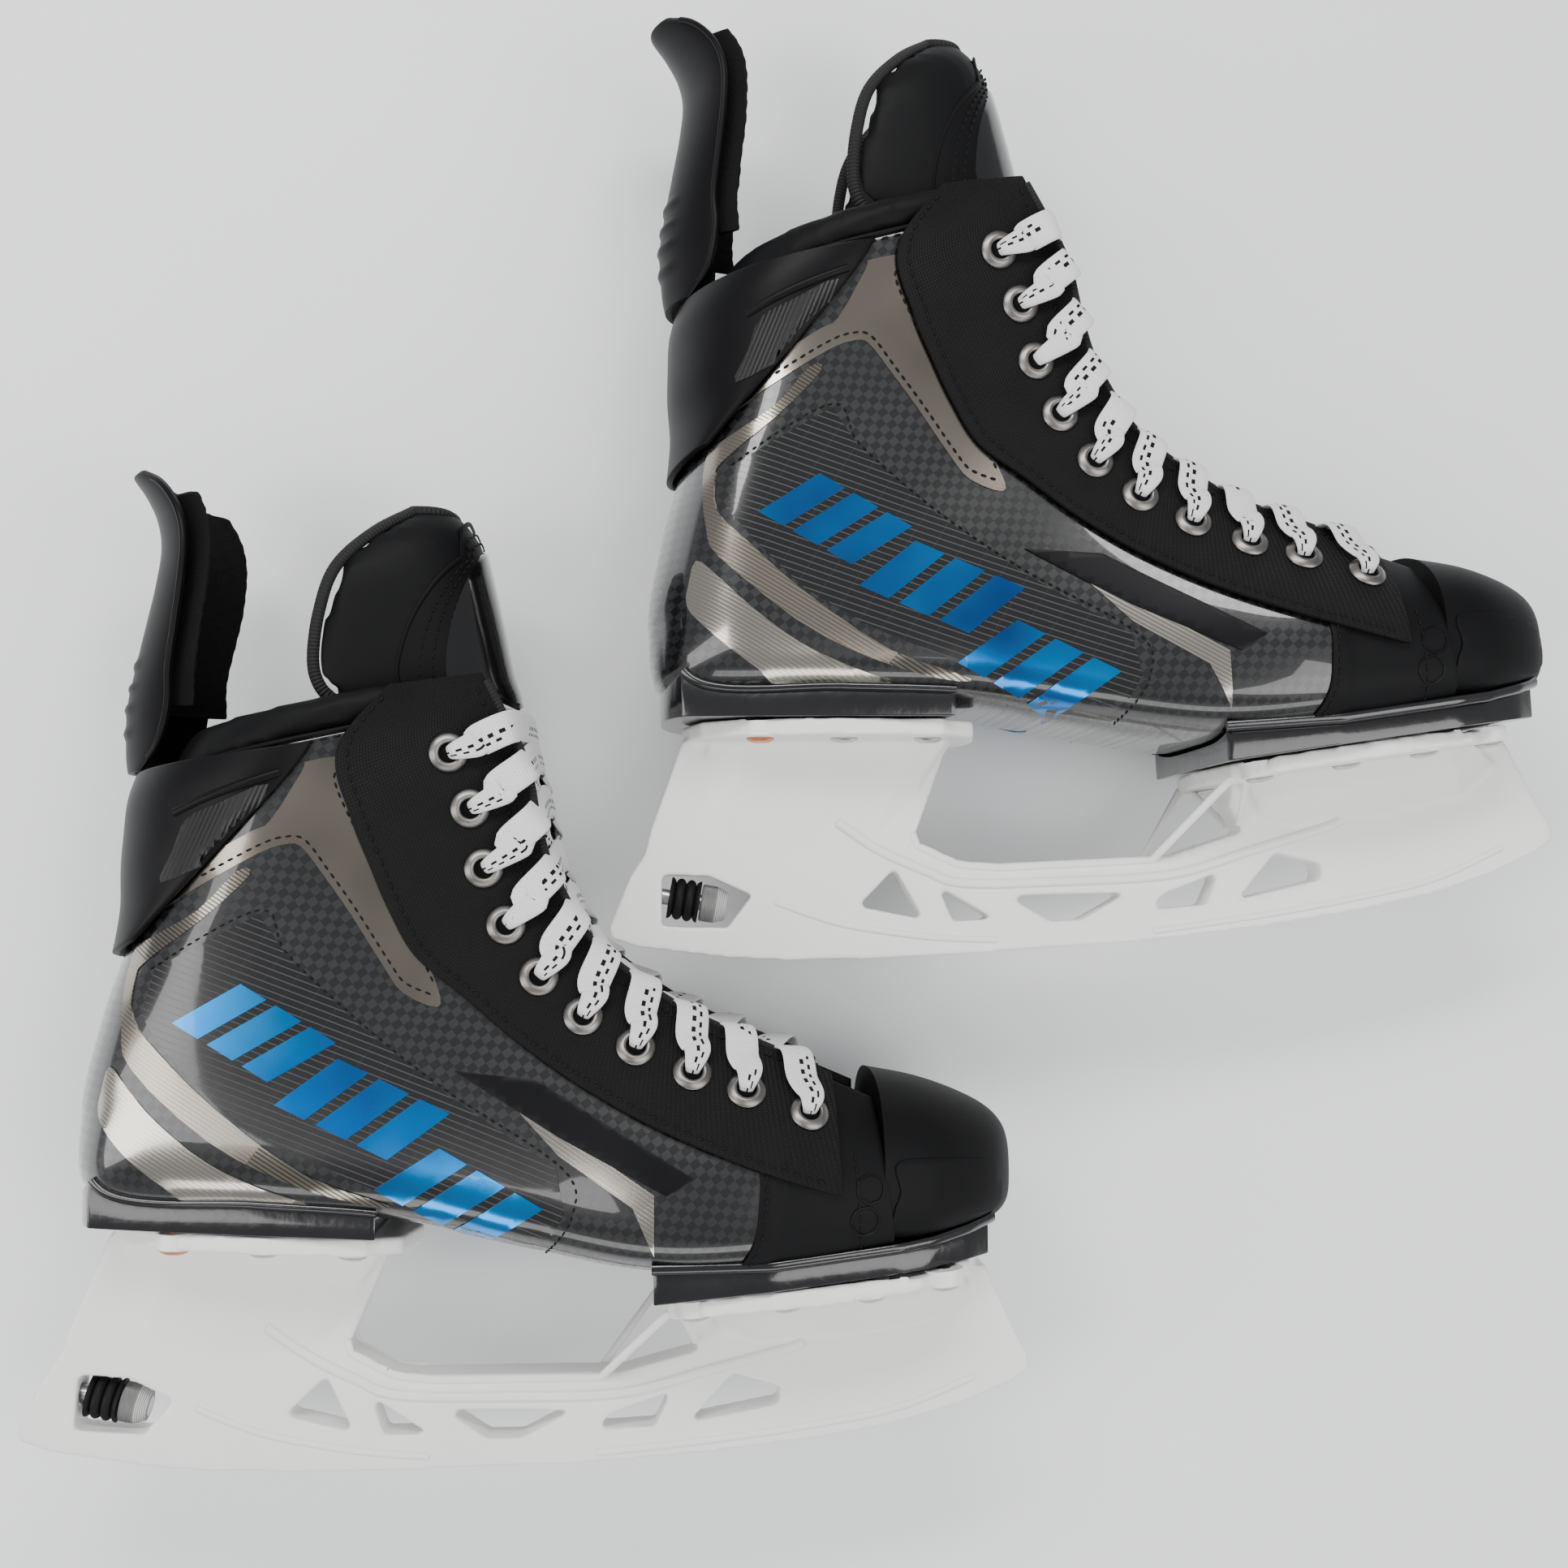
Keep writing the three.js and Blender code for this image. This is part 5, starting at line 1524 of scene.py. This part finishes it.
def makeDecals(tree):
    for side, name in ((1, "upper"), (-1, "lower")):
        foil = decals["foil"]
        hatchArea = [
            (27, 147), (55.8, 162.3), (63.6, 150.1), (85, 130),
            (109.2, 111.3), (139.4, 91.2), (141.7, 79), (135, 67),
            (113, 71.6), (93.2, 83.4), (62, 98), (44, 110), (31, 124), (23.5, 134),
        ]
        fitPair(patchPiece(tree, hatchArea, side, 0.14, 0.35), name + "_hatch_panel", "hatch", "carbon")
        foils = [
            (curveThrough(bronzePanel, 3, True), "_bronze_panel", "bronze"),
            (curveThrough(bronzeBand, 3, True), "_bronze_band", "bronzeLines"),
            (curveThrough(champagneWedge, 3, True), "_champagne_wedge", "champagne"),
            (champagneSliver, "_champagne_sliver", "champagne"),
        ]
        for points, label, look in foils:
            piece = patchPiece(tree, points, side, foil, decals["thick"], decals["cell"])
            fitPair(piece, name + label, look, "carbon")
        plate = patchPiece(tree, darkPlate, side, 0.6, 1.0, decals["cell"], 0.25)
        fitPair(plate, name + "_dark_plate", "plate", "carbon")
        for z, zone in enumerate(blueZones):
            for k, bar in enumerate(barsIn(zone, decals["bars"])):
                piece = patchPiece(tree, bar, side, foil + 0.05, decals["thick"], 3)
                fitPair(piece, f"{name}_blue_bar_{z + 1}_{k + 1}", "blue", "carbon")
        seam = surfaceRun(tree, curveThrough(contour, 12), side, 0.3)
        fitPair(stitchPiece([seam], 1.6, 1.0, 0.6), name + "_contour_stitches", "thread", "carbon")
        arch = [(104, 143), (94, 162.6), (84.5, 181), (76.5, 199), (78.6, 204.5)]
        line = [
            (103.5, 139.5), (96, 143), (91.5, 149), (82.5, 163.2), (75, 174), (68.2, 183), (62.3, 183.8),
            (55, 181.2), (40, 173),
        ]
        runs = [surfaceRun(tree, curveThrough(points, 10), side, foil + 0.3) for points in (arch, line)]
        fitPair(stitchPiece(runs, 2.0, 0.9, 0.7), name + "_panel_stitches", "thread", "carbon")


# ---- the whole pair ----
shellTree = makeShell()
print("shell ready")
makeLining()
makeCollar()
print("collar ready")
makeToeWrap()
makeToeCap()
makeEyestays()
makeEyelets()
print("eyelets ready")
makeTongue()
makeTongueTop()
makeTonguePatch()
print("tongue ready")
makeGuard()
makeGuardBase()
makeHeelSole()
makeFrontSole()
print("soles ready")
makeLaces()
makeHolder()
makeRivets()
makeLock()
print("holder ready")
makeDecals(shellTree)
print("decorations ready")

# ---- floor ----
deselect()
bpy.ops.mesh.primitive_plane_add(size=8)
ground = bpy.context.object
ground.name = "floor"
groundLook = Finish("pale_floor", Roughness=0.7)
groundLook.put("Base Color", groundLook.mix(groundLook.noise(3, 2), (0.86, 0.87, 0.88), (0.9, 0.91, 0.92)))
ground.data.materials.append(groundLook.material)
addLamps()
addCamera()
bpy.context.view_layer.update()
